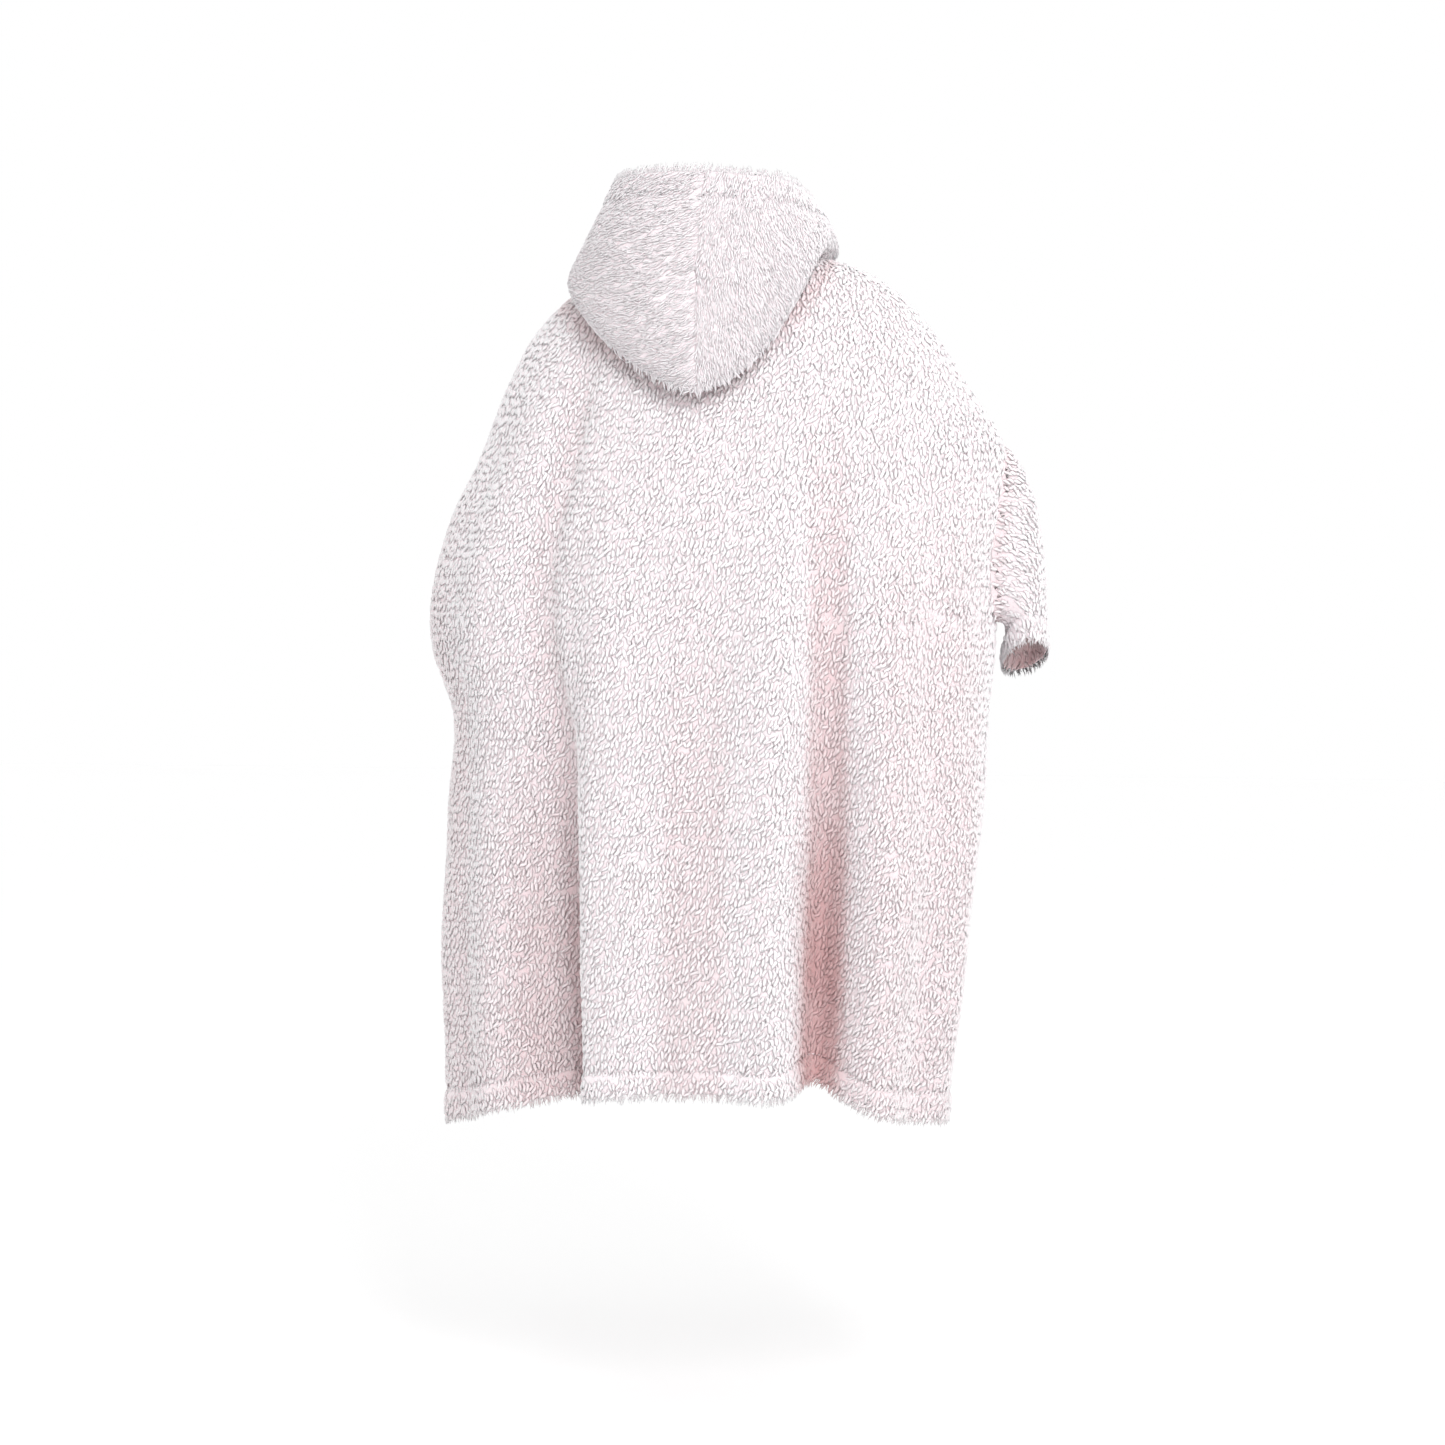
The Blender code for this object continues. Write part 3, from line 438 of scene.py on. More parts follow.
def ground_height(ground, out):
    """Lowest heights that the hood's outer face may have at the given distances out."""
    reach, height = ground
    floor = np.empty(out.shape)
    for column in range(out.shape[1]):
        here = np.interp(out[:, column], reach[:, column], height[:, column])
        beside = np.interp(out[:, column] + GROUND_PROBE, reach[:, column], height[:, column])
        floor[:, column] = here + HOOD_CLEAR * np.hypot(1.0, (beside - here) / GROUND_PROBE)
    return floor


def hood_points(angles, stretch_steps):
    """Outer face of the hood: up from the neck seam, over, down the back and up to the rim."""
    section = table_at(HOOD_SECTIONS, angles)
    turn = np.radians(angles)
    outward = np.stack([-np.sin(turn), np.cos(turn), np.zeros_like(turn)], axis=-1)
    axis = np.array([0.0, NECK_AXIS_Y, 0.0])
    places = place_at_angle(angles)[None, :]
    neck = body_points(np.array([0.0]), places)[0]
    seam_normals = body_normals(np.array([0.0]), places)[0]
    start = unit(neck - body_points(np.array([PROBE]), places)[0])
    neck_out = distance_out(neck)
    ground = ground_profiles(angles)

    def at(out, height):
        return axis + outward * out[:, None] + UP * height[:, None]

    knots = [neck + start * SEAM_GAP]
    for out, rise in HOOD_ROLL:
        knots.append(at(neck_out + out * section.roll, neck[:, 2] + rise * section.roll))
    rolled_out = neck_out + HOOD_ROLL[-1][0] * section.roll
    rolled_z = neck[:, 2] + HOOD_ROLL[-1][1] * section.roll
    for share, hover in HOOD_HANG:
        out = rolled_out + (section.fold_out - section.bag - rolled_out) * share
        floor = ground_height(ground, out[None, :])[0]
        knots.append(at(out, floor + hover * (rolled_z - floor)))
    knots += [
        at(section.fold_out - FOLD_UNDER * section.bag, section.fold_z),
        at(section.fold_out, section.fold_z + FOLD_RISE * section.bag),
        at(section.belly_out, section.belly_z),
        at(section.rim_out, section.rim_z),
    ]
    points = smooth_curve(np.array(knots), stretch_steps)
    floor = ground_height(ground, distance_out(points))
    lying = sum(stretch_steps[:3])
    points[lying:, :, 2] = np.maximum(points[lying:, :, 2], floor[lying:])
    return points, seam_normals


# Surfaces as grids. points is where the pile's tips lie and down runs in the cloth; away is the
# distance from the free edge and seam that from a seam where the pile is parted; the painted shade is
# a share of the way to the shade colour, 1 on the floor of the deepest fold; backing is how far under
# the tips the knitted backing lies; turn is how far from the edge its turned part is stitched down; wraps
# says that it is a tube.
Surface = namedtuple("Surface", "points normals down away seam sink backing turn wraps")
GRID_STEP = 0.005  # between the rows of the body's grids
BACK_COLUMNS = 220
FRONT_COLUMNS = 200
SLEEVE_RINGS = 44
SLEEVE_STEPS = 40
HOOD_STEPS = (4, 6, 6, 10, 10, 14, 14, 14, 20)  # rows between the hood's guide points
HOOD_COLUMNS = 64
HANGING_ROW = sum(HOOD_STEPS[:6])   # from here on, the hood's outer layer is seen
BELLY_ROW = sum(HOOD_STEPS[:7])
SLEEVE_EASE = 2.0  # rows over which a sleeve leaves the body's direction
HOOD_EASE = 3.0    # the same for the hood
SHELL_STRIDE = 4   # the backing is modelled with every fourth row
HOOD_STRIDE = 2    # and the hood's with every second
FINE_ROWS = 12     # apart from the first and the last ones

# One row for each kind of lock: size in metres, its thickness as a share of its width, the number of
# rings and sides that it is modelled with, how far its direction and its bend stray, and how far it
# strays from its row, as a share of the rows' distance.
Lock = namedtuple("Lock", "length height radius flat rings sides spread curl stray")
TEDDY = Lock(0.0135, 0.0018, 0.0032, 0.46, 3, 3, 0.25, 0.11, 0.36)
BRUSHED = Lock(0.014, 0.0014, 0.0014, 0.55, 3, 3, 0.2, 0.05, 0.5)
LINING = Lock(0.0118, 0.0013, 0.0026, 0.5, 3, 3, 0.35, 0.09, 0.5)
EDGE = Lock(0.019, 0.002, 0.0014, 0.7, 3, 3, 0.3, 0.07, 0.0)
FIBRE = Lock(0.0115, 0.001, 0.0008, 1.0, 3, 3, 0.38, 0.06, 0.0)
STITCH = Lock(0.0036, 0.0009, 0.0006, 1.0, 3, 4, 0.06, 0.0, 0.0)

# Between rows of locks, and along a row
TEDDY_PITCH = (0.0086, 0.0062)
FRONT_PITCH = (0.0089, 0.0064)
BRUSHED_PITCH = (0.0052, 0.0035)
LINING_PITCH = (0.0088, 0.0064)
FIBRE_PITCH = 0.0013   # along a fringed edge
FRINGE_SHIFT = 0.0015  # the fringe's roots stand this far inside the edge
STITCH_PITCH = 0.0048
COVER_STEP = 0.28      # between the strands along the hood's bottom edge, in columns
PLACE_JITTER = 0.25    # how far a lock strays along its row, as a share of the pitch
PILE_ROWS = 110        # a surface with more rows has its pile in two pieces

# Which way locks lie, from straight down towards the lower left, in radians
TEDDY_LAY = 0.08
BRUSHED_DOWN = 0.10
BRUSHED_ASIDE = 0.95
UPWARDS = np.pi
ALONG_EDGE = np.pi / 2.0

# Form of a lock, as shares of its size
ROOT_DEPTH = 0.0004  # its root stands this far inside the backing, in metres
ROOT_SHARE = 0.30    # share of its length that lies before its place
SHORTEST = 0.45      # size of a lock right at a parting
THINNEST = 0.55      # width of the smallest one
LEFT_OUT = 0.18      # where less of the pile than this stands, there is no lock
STITCH_TRIM = 0.5    # how much of the pile stands along a line of stitches
LENGTH_RANGE = (0.72, 1.25)
HEIGHT_RANGE = (0.80, 1.12)
RADIUS_RANGE = (0.78, 1.18)
CURL_SPREAD = 0.6
PHASE_SPREAD = 0.45
CURL_TURNS = 0.85    # waves along a lock
RISE_TURN = 0.84     # how far the arch of its middle line goes round, of half a turn
RISE_POWER = 0.72    # below 1, it rises soon after its root
GIRTH = ((0.0, 0.28, 0.6, 0.85, 1.0), (0.55, 1.0, 0.96, 0.62, 0.0))  # share of its length, of its width
TIP_GAIN = 1.7       # how soon it takes the tips' colour

# Rows of the hood that lie against the body, rows that strands hang from and how far down these
# are moved (upwards, below zero), and rows between which its inside shows
HOOD_HIDDEN = HANGING_ROW - 8
HOOD_COVERED = ((BELLY_ROW - 5.0, -0.003), (BELLY_ROW - 9.0, -0.003))
HOOD_LININGS = ((0, sum(HOOD_STEPS[:4])), (sum(HOOD_STEPS[:8]), sum(HOOD_STEPS)))

# Colours, from the pile's tips to the backing, and the painted shade deep in a fold
TIP_COLOUR = (0.90, 0.882, 0.898, 1.0)
ROOT_COLOUR = (0.86, 0.815, 0.838, 1.0)
BRUSHED_TIP_COLOUR = (0.91, 0.892, 0.912, 1.0)
BRUSHED_ROOT_COLOUR = (0.885, 0.845, 0.872, 1.0)
# painted shade: the colour that folds, recesses, the body under the hood's edge and the cloth's inside are
# darkened towards
FOLD_SHADE_COLOUR = (0.56, 0.34, 0.34, 1.0)
KNIT_COLOUR = (0.83, 0.755, 0.78, 1.0)
THREAD_COLOUR = (0.88, 0.82, 0.84, 1.0)
FLOOR_COLOUR = (1.0, 1.0, 1.0, 1.0)

# How fleece takes light
FLEECE_LOOKS = (
    ("Roughness", 0.92),
    ("Specular IOR Level", 0.15),
    ("Sheen Weight", 0.50),
    ("Sheen Roughness", 0.45),
    ("Sheen Tint", (1.0, 0.96, 0.97, 1.0)),
    ("Subsurface Weight", 0.6),
    ("Subsurface Radius", (0.80, 1.0, 0.95)),
    ("Subsurface Scale", 0.004),
)
PILE_SOFTNESS = 0.5        # a lock is lit this much as the cloth under it, and less as a solid strand
TONE_RANGE = (0.94, 1.02)  # darkest and palest lock
PATCH_SCALE = 14.0         # uneven patches of colour, waves in a metre
PATCH_STRENGTH = 0.16
HAIR_SCALE = 1100.0        # fine hairs on each lock, waves in a metre
HAIR_HEIGHT = 0.0008

# Studio
FLOOR_Z = -1.42
FLOOR_SIZE = 30.0
WORLD_STRENGTH = 1.0
CAMERA_AZIMUTH = np.radians(194.0)
CAMERA_DISTANCE = 4.0
CAMERA_Z = -0.45
TARGET_Z = -0.59
CAMERA_ASIDE = -0.0096
FRAME_WIDTH = 0.867  # half-width of what the camera sees at its target
SENSOR_WIDTH = 36.0
# Places are measured to the image's right, towards the camera and upwards
Light = namedtuple("Light", "name aside ahead height size power")
LIGHTS = (
    Light("key_light", 0.5, 2.1, 0.7, 1.0, 29.0),
    Light("fill_light", 1.6, 2.4, 0.0, 2.0, 8.0),
)


def grid_frame(points, wraps=False, upwards=False):
    """Outward and downward directions over a grid of points."""
    down = unit(np.gradient(points, axis=0) * (-1.0 if upwards else 1.0))
    if wraps:
        across = unit(np.roll(points, -1, axis=1) - np.roll(points, 1, axis=1))
    else:
        across = unit(np.gradient(points, axis=1))
    normals = unit(np.cross(down, across))
    return normals, np.cross(across, normals)


def parted(distance):
    """Share of the pile that stands at a distance from a parting."""
    return smooth_step((np.abs(distance) - BARE_LINE * BARE_SHARE) / (BARE_LINE * STANDING_SHARE))


def near_seam(distance):
    """1 at a seam and 0 away from it."""
    return 1.0 - smooth_step(distance / SEAM_REACH)


def close_ring(grid):
    """Repeat a tube's first column after its last."""
    return np.concatenate([grid, grid[:, :1]], axis=1)


def body_surface(columns, towards_front):
    """Back or front panel, between the side seams."""
    levels = np.linspace(0.0, HEM_LEVEL - HEM_SHORT, int(HEM_LEVEL / GRID_STEP))
    if towards_front:
        first = seam_place(levels, 1, True)
        last = 2.0 - seam_place(levels, -1, True)
    else:
        first = -seam_place(levels, -1, False)
        last = seam_place(levels, 1, False)
    around = first[:, None] + (last - first)[:, None] * np.linspace(0.0, 1.0, columns + 1)
    points = body_points(levels, around)
    away = np.repeat((HEM_LEVEL - levels)[:, None], columns + 1, axis=1)
    from_first = lengths_along(points)
    from_seam = np.minimum(from_first, from_first[:, -1:] - from_first)
    from_seam = np.minimum(from_seam, levels[:, None])
    normals, down = grid_frame(points)
    points = points + normals * edge_form(away, HEM_TURN)[..., None]
    backing = SHELL_SINK * (1.0 - SEAM_RISE * near_seam(from_seam))
    # painted shade on the folds' floors
    sink = fold_painted_shade(levels, around)
    if not towards_front:
        # painted shadow along the hood's lower edge
        sink = np.clip(sink + hood_painted_shadow(points), 0.0, 1.0)
    closed = np.full_like(away, FAR)
    return Surface(points, normals, down, away, closed, sink, backing, HEM_TURN, False)


def sleeve_surface(sleeve):
    """Sleeve, from the armhole to the cuff."""
    points, directions = sleeve_points(sleeve, SLEEVE_RINGS, SLEEVE_STEPS)
    if sleeve.side == "right":
        points = points[:, ::-1]
        directions = directions[::-1]
    normals, down = grid_frame(points, wraps=True)
    share = smooth_step(np.arange(SLEEVE_RINGS + 1) / SLEEVE_EASE)[:, None, None]
    normals = unit((1.0 - share) * directions + share * normals)
    away = edge_distance(points)
    points = points + normals * edge_form(away, CUFF_TURN)[..., None] * share
    from_seam = away[:1] - away
    backing = SHELL_SINK * (1.0 - SEAM_RISE * near_seam(from_seam))
    closed = np.full_like(away, FAR)
    # painted shade beside the armhole, fading towards the cuff
    sink = SLEEVE_PAINTED_SHADE * smooth_step(1.0 - from_seam / SLEEVE_PAINTED_SHADE_REACH)
    grids = (points, normals, down, away, closed, sink, backing)
    return Surface(*[close_ring(grid) for grid in grids], CUFF_TURN, True)


def hood_surface():
    """Whole hood, from the neck seam to the rim."""
    angles = HOOD_END * np.linspace(-1.0, 1.0, 2 * HOOD_COLUMNS + 1)
    points, seam_normals = hood_points(angles, HOOD_STEPS)
    normals, down = grid_frame(points, upwards=True)
    start = smooth_step(np.arange(len(points)) / HOOD_EASE)[:, None, None]
    normals = unit((1.0 - start) * seam_normals + start * normals)
    away = edge_distance(points)
    middle = points[:, HOOD_COLUMNS:HOOD_COLUMNS + 1]
    aside = np.linalg.norm(points - middle, axis=-1)
    hanging = np.arange(len(points))[:, None] >= HANGING_ROW
    reach = np.hypot(aside, points[..., 2] - HOOD_DIMPLE_Z) / HOOD_DIMPLE_REACH
    dimple = HOOD_DIMPLE_DEPTH * np.exp(-reach ** 2) * hanging
    relief = RIM_RELIEF * edge_form(away, RIM_TURN) - dimple
    points = points + normals * relief[..., None]
    from_seam = away[:1] - away
    backing = HOOD_SINK + SEAM_DIP * near_seam(np.minimum(aside, from_seam))
    # painted shade on the rows that lie under the hanging layer
    sink = np.where(hanging, 0.0, ROLL_PAINTED_SHADE) * np.ones_like(away)
    return Surface(points, normals, down, away, from_seam, sink, backing, RIM_TURN, False)


def part_of(surface, columns):
    """The columns of a surface that one piece has."""
    grids = [grid[:, columns] for grid in surface[:-2]]
    return Surface(*grids, surface.turn, False)


def inside(surface):
    """The same cloth's other face."""
    depth = surface.backing + SHELL_WALL + LINING_SINK
    points = surface.points - surface.normals * depth[..., None]
    # painted shade over the whole inside, darker in a sleeve
    sink = np.full_like(surface.sink, CUFF_PAINTED_SHADE if surface.wraps else LINING_PAINTED_SHADE)
    return surface._replace(points=points, normals=-surface.normals, sink=sink,
                            backing=np.full_like(surface.backing, LINING_SINK),
                            seam=np.full_like(surface.seam, FAR))


def fold_painted_shade(levels, around):
    """Painted shade from the folds, greatest on their floors, as a share of the way to the shade colour; at
    most 1.
    """
    depth_of = levels[:, None]
    half = half_ring(table_at(BODY_RINGS, levels), 1)[1][:, -1:]
    sink = np.zeros(around.shape)
    for fold in FOLDS:
        offset, width, growth = fold_at(fold, around, depth_of)
        floor = smooth_step(PAINTED_SHADE_EDGE * (1.0 - offset * half / (width * PAINTED_SHADE_WIDTH)))
        sink += fold.blush * floor * growth
    return np.clip(sink, 0.0, 1.0)


def hood_painted_shadow(points):
    """Painted shadow on the back's pile along the hood's lower edge, as the camera sees that edge."""
    aside = points[..., 0] * np.cos(CAMERA_AZIMUTH) + points[..., 1] * np.sin(CAMERA_AZIMUTH)
    edge = np.interp(aside, *np.array(HOOD_EDGE).T, left=FAR, right=FAR)
    return HOOD_PAINTED_SHADOW * np.exp(-((edge - points[..., 2]) / HOOD_PAINTED_SHADOW_REACH) ** 2)


def sample(grid, row, column):
    """Read a grid between its points."""
    top = np.clip(row.astype(int), 0, grid.shape[0] - 2)
    left = np.clip(column.astype(int), 0, grid.shape[1] - 2)
    by_row = row - top
    by_column = column - left
    if grid.ndim == 3:
        by_row = by_row[:, None]
        by_column = by_column[:, None]
    upper = grid[top, left] * (1.0 - by_column) + grid[top, left + 1] * by_column
    lower = grid[top + 1, left] * (1.0 - by_column) + grid[top + 1, left + 1] * by_column
    return upper * (1.0 - by_row) + lower * by_row


def scatter(surface, pitch, stray, rng, first_row, last_row):
    """Places of locks in loose rows, as many for each square metre everywhere."""
    points = surface.points
    down_steps = points[1:, :-1] - points[:-1, :-1]
    area = np.linalg.norm(np.cross(down_steps, points[:-1, 1:] - points[:-1, :-1]), axis=-1)
    band = max(1, int(round(pitch[0] / np.linalg.norm(down_steps, axis=-1).mean())))
    rows = []
    columns = []
    for number, top in enumerate(range(first_row, last_row, band)):
        strip = area[top:min(top + band, last_row)]
        total = np.concatenate([[0.0], np.cumsum(strip.sum(axis=0))])
        count = int(total[-1] / (pitch[0] * pitch[1]))
        if count < 1:
            continue
        offset = 0.25 + 0.5 * (number % 2)
        jitter = rng.uniform(-PLACE_JITTER, PLACE_JITTER, count)
        wanted = (np.arange(count) + offset + jitter) * total[-1] / count
        columns.append(np.interp(wanted, total, np.arange(len(total))))
        rows.append(top + len(strip) * (0.5 + rng.uniform(-stray, stray, count)))
    return np.concatenate(rows), np.concatenate(columns)


def mesh_piece(name, points, faces, material, attributes):
    """A smooth mesh from arrays of points and of faces with equal numbers of corners."""
    mesh = bpy.data.meshes.new(name)
    mesh.vertices.add(len(points))
    mesh.vertices.foreach_set("co", points.astype(np.float32).ravel())
    corners = np.concatenate([group.ravel() for group in faces])
    sizes = np.concatenate([np.full(len(group), group.shape[1]) for group in faces])
    mesh.loops.add(len(corners))
    mesh.loops.foreach_set("vertex_index", corners.astype(np.int32))
    mesh.polygons.add(len(sizes))
    starts = np.concatenate([[0], np.cumsum(sizes)[:-1]])
    mesh.polygons.foreach_set("loop_start", starts.astype(np.int32))
    mesh.update(calc_edges=True)
    mesh.shade_smooth()
    for key, values in attributes.items():
        kind, field = ("FLOAT", "value") if values.ndim == 1 else ("FLOAT_VECTOR", "vector")
        layer = mesh.attributes.new(key, kind, "POINT")
        layer.data.foreach_set(field, values.astype(np.float32).ravel())
    mesh.materials.append(material)
    piece = bpy.data.objects.new(name, mesh)
    bpy.context.scene.collection.objects.link(piece)
    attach(piece, "root")
    return piece


def cloth_shell(name, surface, stride, material):
    """The knitted backing of a panel, a thin closed wall."""
    last = surface.points.shape[0]
    rows = np.arange(last)
    fine = (rows < FINE_ROWS) | (rows >= last - FINE_ROWS)
    rows = rows[fine | (rows % stride == 0)]
    columns = np.arange(surface.points.shape[1] - surface.wraps)
    pick = np.ix_(rows, columns)
    outer = surface.points[pick] - surface.normals[pick] * surface.backing[pick][..., None]
    inner = outer - surface.normals[pick] * SHELL_WALL
    count = len(rows) * len(columns)
    index = np.arange(count).reshape(len(rows), len(columns))
    if surface.wraps:
        index = close_ring(index)
    under = index + count
    loops = [
        (index[:-1, :-1], index[1:, :-1], index[1:, 1:], index[:-1, 1:]),
        (under[:-1, :-1], under[:-1, 1:], under[1:, 1:], under[1:, :-1]),
        (index[-1, :-1], under[-1, :-1], under[-1, 1:], index[-1, 1:]),
        (index[0, :-1], index[0, 1:], under[0, 1:], under[0, :-1]),
    ]
    if not surface.wraps:
        loops += [
            (index[:-1, 0], under[:-1, 0], under[1:, 0], index[1:, 0]),
            (index[:-1, -1], index[1:, -1], under[1:, -1], under[:-1, -1]),
        ]
    faces = [np.stack([corner.ravel() for corner in loop], axis=1) for loop in loops]
    points = np.concatenate([outer.reshape(-1, 3), inner.reshape(-1, 3)])
    # painted shade on the backing's outer wall, and a fixed painted shade on its inner wall
    sink = surface.sink[pick].ravel()
    painted_shade_inside = np.full(count, CUFF_PAINTED_SHADE if surface.wraps else LINING_PAINTED_SHADE)
    attributes = {"tip": np.zeros(2 * count), "sink": np.concatenate([sink, painted_shade_inside]),
                  "tone": np.full(2 * count, 0.5), "facing": np.zeros((2 * count, 3))}
    return mesh_piece(name, points, faces, material, attributes)


def add_locks(name, surface, places, form, lay, material, rng, reach_down=0.0):
    """Curved tapering locks at places of a surface; lay is their mean direction in the cloth.
    Locks that are moved by reach_down start at their place and are never trimmed."""
    row, column = places
    stitched = sample(surface.away, row, column) - surface.turn
    trim = STITCH_TRIM + (1.0 - STITCH_TRIM) * parted(stitched)
    trim = trim * parted(sample(surface.seam, row, column))
    if reach_down == 0.0 and form not in (STITCH, LINING):
        kept = trim > LEFT_OUT
        row, column, trim = row[kept], column[kept], trim[kept]
    else:
        trim = np.ones_like(trim)
    count = len(row)
    normal = unit(sample(surface.normals, row, column))
    down = unit(sample(surface.down, row, column))
    backing = sample(surface.backing, row, column)
    base = sample(surface.points, row, column) - normal * (backing + ROOT_DEPTH)[:, None]
    base += down * reach_down
    across = np.cross(normal, down)
    angle = lay + rng.normal(0.0, form.spread, count)
    along = np.cos(angle)[:, None] * down - np.sin(angle)[:, None] * across
    beside = np.cross(normal, along)
    size = SHORTEST + (1.0 - SHORTEST) * trim
    length = form.length * rng.uniform(*LENGTH_RANGE, count) * size
    height = form.height * rng.uniform(*HEIGHT_RANGE, count) * size
    radius = form.radius * rng.uniform(*RADIUS_RANGE, count) * (THINNEST + (1.0 - THINNEST) * size)
    curl = form.curl * rng.normal(1.0, CURL_SPREAD, count)
    phase = rng.normal(0.0, PHASE_SPREAD, count)

    share = np.linspace(0.0, 1.0, form.rings + 1)
    rise = np.sin(np.pi * RISE_TURN * share ** RISE_POWER)
    girth = np.interp(share, *GIRTH)
    start = ROOT_SHARE if reach_down == 0.0 else 0.0
    wave = np.sin(2.0 * np.pi * CURL_TURNS * share[None] + phase[:, None])
    centre = (
        base[:, None]
        + along[:, None] * ((share[None] - start) * length[:, None])[..., None]
        + normal[:, None] * (rise[None] * height[:, None])[..., None]
        + beside[:, None] * (curl[:, None] * wave * length[:, None])[..., None]
    )
    heading = unit(np.gradient(centre, axis=1))
    over = unit(np.cross(heading, beside[:, None]))
    side_way = np.cross(over, heading)
    turn = np.pi / 2.0 + np.arange(form.sides) / form.sides * 2.0 * np.pi
    reach = (girth[None, :-1] * radius[:, None])[..., None, None]
    rings = (
        centre[:, :-1, None]
        + side_way[:, :-1, None] * np.cos(turn)[None, None, :, None] * reach
        + over[:, :-1, None] * np.sin(turn)[None, None, :, None] * reach * form.flat
    )
    per_lock = form.rings * form.sides + 1
    points = np.concatenate([rings.reshape(count, -1, 3), centre[:, -1:]], axis=1).reshape(-1, 3)
    step = np.arange(form.sides)
    following = (step + 1) % form.sides
    quad = np.stack([step, following, following + form.sides, step + form.sides], axis=1)
    quads = np.concatenate([quad + ring * form.sides for ring in range(form.rings - 1)])
    last = (form.rings - 1) * form.sides
    tips = np.stack([last + step, last + following, np.full(form.sides, per_lock - 1)], axis=1)
    root = step[::-1][None]
    shift = (np.arange(count) * per_lock)[:, None, None]
    faces = [(group[None] + shift).reshape(-1, group.shape[1]) for group in (quads, tips, root)]
    tip = np.append(np.repeat(share[:-1], form.sides), 1.0)
    attributes = {
        "tip": np.tile(np.clip(tip * TIP_GAIN, 0.0, 1.0), count),
        # painted shade, read from the surface under each lock
        "sink": np.repeat(sample(surface.sink, row, column), per_lock),
        "tone": np.repeat(rng.uniform(0.0, 1.0, count), per_lock),
        "facing": np.repeat(normal, per_lock, axis=0),
    }
    return mesh_piece(name, points, faces, material, attributes)


def edge_places(surface, away, pitch, rng, jitter):
    """Places at a distance from the free edge, evenly spaced along it."""
    rows, columns = surface.away.shape
    at_row = np.array([
        np.interp(away, surface.away[::-1, column], np.arange(rows)[::-1]) for column in range(columns)
    ])
    line = sample(surface.points, at_row, np.arange(columns) * 1.0)
    total = lengths_along(line)
    count = int(total[-1] / pitch)
    wanted = (np.arange(count) + 0.5 + rng.uniform(-jitter, jitter, count)) * total[-1] / count
    column = np.interp(wanted, total, np.arange(columns))
    return np.interp(column, np.arange(columns), at_row), column


def fleece(name, tip_colour, root_colour, bump_strength):
    """Pile: paler at the tips, pinker at the roots, with painted shade in the folds and recesses, and fine
    fibres.
    """
    material = bpy.data.materials.new(name)
    material.use_nodes = True
    nodes = material.node_tree.nodes
    links = material.node_tree.links
    shader = nodes["Principled BSDF"]
    for key, value in FLEECE_LOOKS:
        shader.inputs[key].default_value = value

    def add(kind, inputs=None, **settings):
        node = nodes.new("ShaderNode" + kind)
        for key, value in settings.items():
            setattr(node, key, value)
        for key, value in (inputs or {}).items():
            if isinstance(value, (float, tuple)):
                node.inputs[key].default_value = value
            else:
                links.new(value, node.inputs[key])
        return node.outputs

    def read(attribute):
        return add("Attribute", attribute_name=attribute)

    def mix(blend, factor, first, second):
        return add("Mix", {0: factor, 6: first, 7: second}, data_type="RGBA", blend_type=blend)[2]

    def noise(scale, detail):
        return add("TexNoise", {"Scale": scale, "Detail": detail, "Vector": place})["Fac"]

    def stretch(value, low, high, first, last):
        limits = {"From Min": low, "From Max": high, "To Min": first, "To Max": last}
        return add("MapRange", {"Value": value, **limits})["Result"]

    place = add("TexCoord")["Object"]
    colour = mix("MIX", read("tip")["Fac"], root_colour, tip_colour)
    # painted shade: darker and pinker towards the fold-shade colour
    colour = mix("MIX", read("sink")["Fac"], colour, FOLD_SHADE_COLOUR)
    shade = stretch(read("tone")["Fac"], 0.0, 1.0, *TONE_RANGE)
    grey = add("CombineColor", {"Red": shade, "Green": shade, "Blue": shade})["Color"]
    colour = mix("MULTIPLY", 1.0, colour, grey)
    patches = stretch(noise(PATCH_SCALE, 3.0), 0.35, 0.65, 0.0, PATCH_STRENGTH)
    links.new(mix("MIX", patches, colour, root_colour), shader.inputs["Base Color"])
    lit = {0: PILE_SOFTNESS, 4: add("NewGeometry")["Normal"], 5: read("facing")["Vector"]}
    lit = add("VectorMath", {0: add("Mix", lit, data_type="VECTOR")[1]}, operation="NORMALIZE")["Vector"]
    hairs = {"Strength": bump_strength, "Distance": HAIR_HEIGHT, "Height": noise(HAIR_SCALE, 2.0)}
    links.new(add("Bump", {"Normal": lit, **hairs})["Normal"], shader.inputs["Normal"])
    return material


def plain_material(name, colour, roughness):
    """A matt surface of one colour."""
    material = bpy.data.materials.new(name)
    material.use_nodes = True
    shader = material.node_tree.nodes["Principled BSDF"]
    shader.inputs["Base Color"].default_value = colour
    shader.inputs["Roughness"].default_value = roughness
    return material


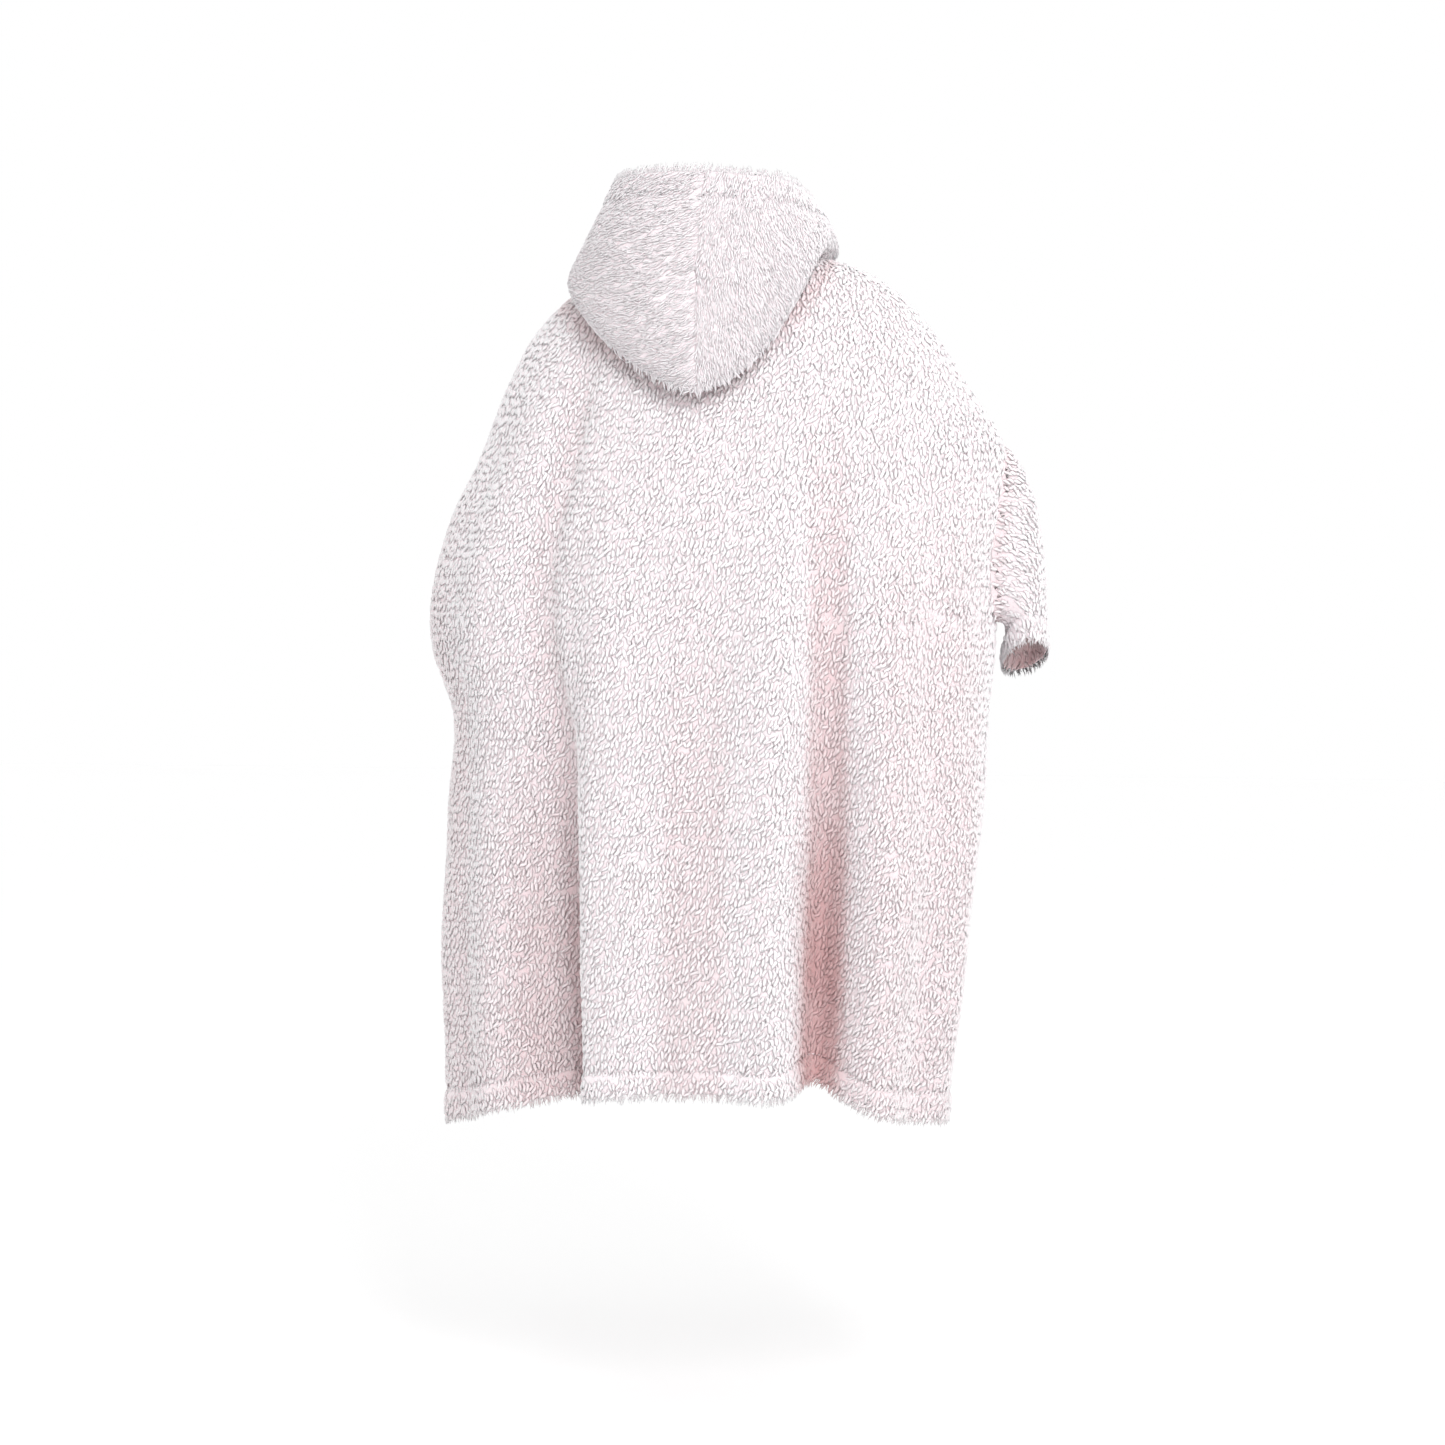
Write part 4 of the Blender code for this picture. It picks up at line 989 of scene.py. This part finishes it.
def dress(name, node, surface, form, pitch, lay, seed, hidden=0, linings=(),
          covered=()):
    """Cloth, pile, fringe and stitches of one cut piece. Its first rows can be hidden; linings are
    the rows, from and to, between which its inside shows; covered are the rows that longer strands
    hang from, and how far down these are moved."""
    rng = np.random.default_rng(seed)
    on_hood = form is BRUSHED
    pile = BRUSHED_PILE if on_hood else PILE
    cloth = cloth_shell(name + "_cloth", surface, HOOD_STRIDE if on_hood else SHELL_STRIDE, KNIT)
    pieces = []
    rows = surface.points.shape[0] - 1
    parts = 1 + rows // PILE_ROWS
    for part in range(parts):
        first = hidden + (rows - hidden) * part // parts
        last = hidden + (rows - hidden) * (part + 1) // parts
        places = scatter(surface, pitch, form.stray, rng, first, last)
        pieces.append(add_locks("%s_pile_%d" % (name, part + 1), surface, places, form, lay, pile, rng))
    other = inside(surface)
    for number, (first, last) in enumerate(linings):
        places = scatter(other, LINING_PITCH, LINING.stray, rng, first, min(last, rows))
        pieces.append(add_locks("%s_lining_%d" % (name, number + 1), other, places, LINING, lay, pile, rng))
    for row, reach in covered:
        column = np.arange(0.0, surface.points.shape[1] - 1.0, COVER_STEP)
        column += rng.uniform(0.0, COVER_STEP, len(column))
        places = (np.full(len(column), row), column)
        pieces.append(add_locks("%s_cover_%d" % (name, len(pieces)), surface, places, EDGE, 0.0,
                                pile, rng, reach))
    places = edge_places(surface, surface.away[-1].min(), FIBRE_PITCH, rng, 0.5)
    outwards, shift = (UPWARDS, FRINGE_SHIFT) if on_hood else (0.0, -FRINGE_SHIFT)
    pieces.append(add_locks(name + "_fringe", surface, places, FIBRE, outwards, pile, rng, shift))
    places = edge_places(surface, surface.turn, STITCH_PITCH, rng, 0.0)
    pieces.append(add_locks(name + "_stitches", surface, places, STITCH, ALONG_EDGE, THREAD, rng))
    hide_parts(node)


PILE = fleece("teddy_pile", TIP_COLOUR, ROOT_COLOUR, 0.5)
BRUSHED_PILE = fleece("brushed_pile", BRUSHED_TIP_COLOUR, BRUSHED_ROOT_COLOUR, 0.35)
KNIT = fleece("knitted_backing", KNIT_COLOUR, KNIT_COLOUR, 0.8)
THREAD = plain_material("sewing_thread", THREAD_COLOUR, 0.6)

dress("back", "back_panel", body_surface(BACK_COLUMNS, False),
      TEDDY, TEDDY_PITCH, TEDDY_LAY, 11)
dress("front", "front_panel", body_surface(FRONT_COLUMNS, True),
      TEDDY, FRONT_PITCH, TEDDY_LAY, 12)
for number, sleeve in enumerate(SLEEVES):
    dress("sleeve_" + sleeve.side, "sleeve_" + sleeve.side, sleeve_surface(sleeve),
          TEDDY, TEDDY_PITCH, TEDDY_LAY, 13 + number, linings=((0, SLEEVE_RINGS),))
hood = hood_surface()
hood_halves = (
    ("hood_left", slice(0, HOOD_COLUMNS + 1), BRUSHED_ASIDE, 15),
    ("hood_right", slice(HOOD_COLUMNS, None), BRUSHED_DOWN, 16),
)
for node, columns, lay, seed in hood_halves:
    dress(node, node, part_of(hood, columns), BRUSHED, BRUSHED_PITCH, lay,
          seed, HOOD_HIDDEN, HOOD_LININGS, HOOD_COVERED)

# Floor, lights and camera
bpy.ops.mesh.primitive_plane_add(size=FLOOR_SIZE, location=(0.0, 0.0, FLOOR_Z))
floor = bpy.context.object
floor.name = "studio_floor"
floor.data.materials.append(plain_material("studio_floor", FLOOR_COLOUR, 0.8))

scene = bpy.context.scene
scene.view_settings.view_transform = "Standard"
world = bpy.data.worlds.new("studio_world")
scene.world = world
world.use_nodes = True
world.node_tree.nodes["Background"].inputs["Color"].default_value = (1.0, 1.0, 1.0, 1.0)
world.node_tree.nodes["Background"].inputs["Strength"].default_value = WORLD_STRENGTH

towards_camera = np.array([np.sin(CAMERA_AZIMUTH), -np.cos(CAMERA_AZIMUTH), 0.0])
image_right = np.array([np.cos(CAMERA_AZIMUTH), np.sin(CAMERA_AZIMUTH), 0.0])


def aim(item, place, target):
    """Put a lamp or a camera at a place and point it at a target."""
    item.location = place
    item.rotation_mode = "QUATERNION"
    item.rotation_quaternion = Vector(target - place).to_track_quat("-Z", "Y")


for light in LIGHTS:
    lamp = bpy.data.lights.new(light.name, "AREA")
    lamp.shape = "SQUARE"
    lamp.size = light.size
    lamp.energy = light.power
    holder = bpy.data.objects.new(light.name, lamp)
    scene.collection.objects.link(holder)
    place = image_right * light.aside + towards_camera * light.ahead + UP * light.height
    aim(holder, place, UP * TARGET_Z)

lens = bpy.data.cameras.new("photo_camera")
lens.sensor_width = SENSOR_WIDTH
lens.lens = lens.sensor_width / 2.0 * CAMERA_DISTANCE / FRAME_WIDTH
camera = bpy.data.objects.new("photo_camera", lens)
scene.collection.objects.link(camera)
aside = image_right * CAMERA_ASIDE
aim(camera, aside + towards_camera * CAMERA_DISTANCE + UP * CAMERA_Z, aside + UP * TARGET_Z)
scene.camera = camera
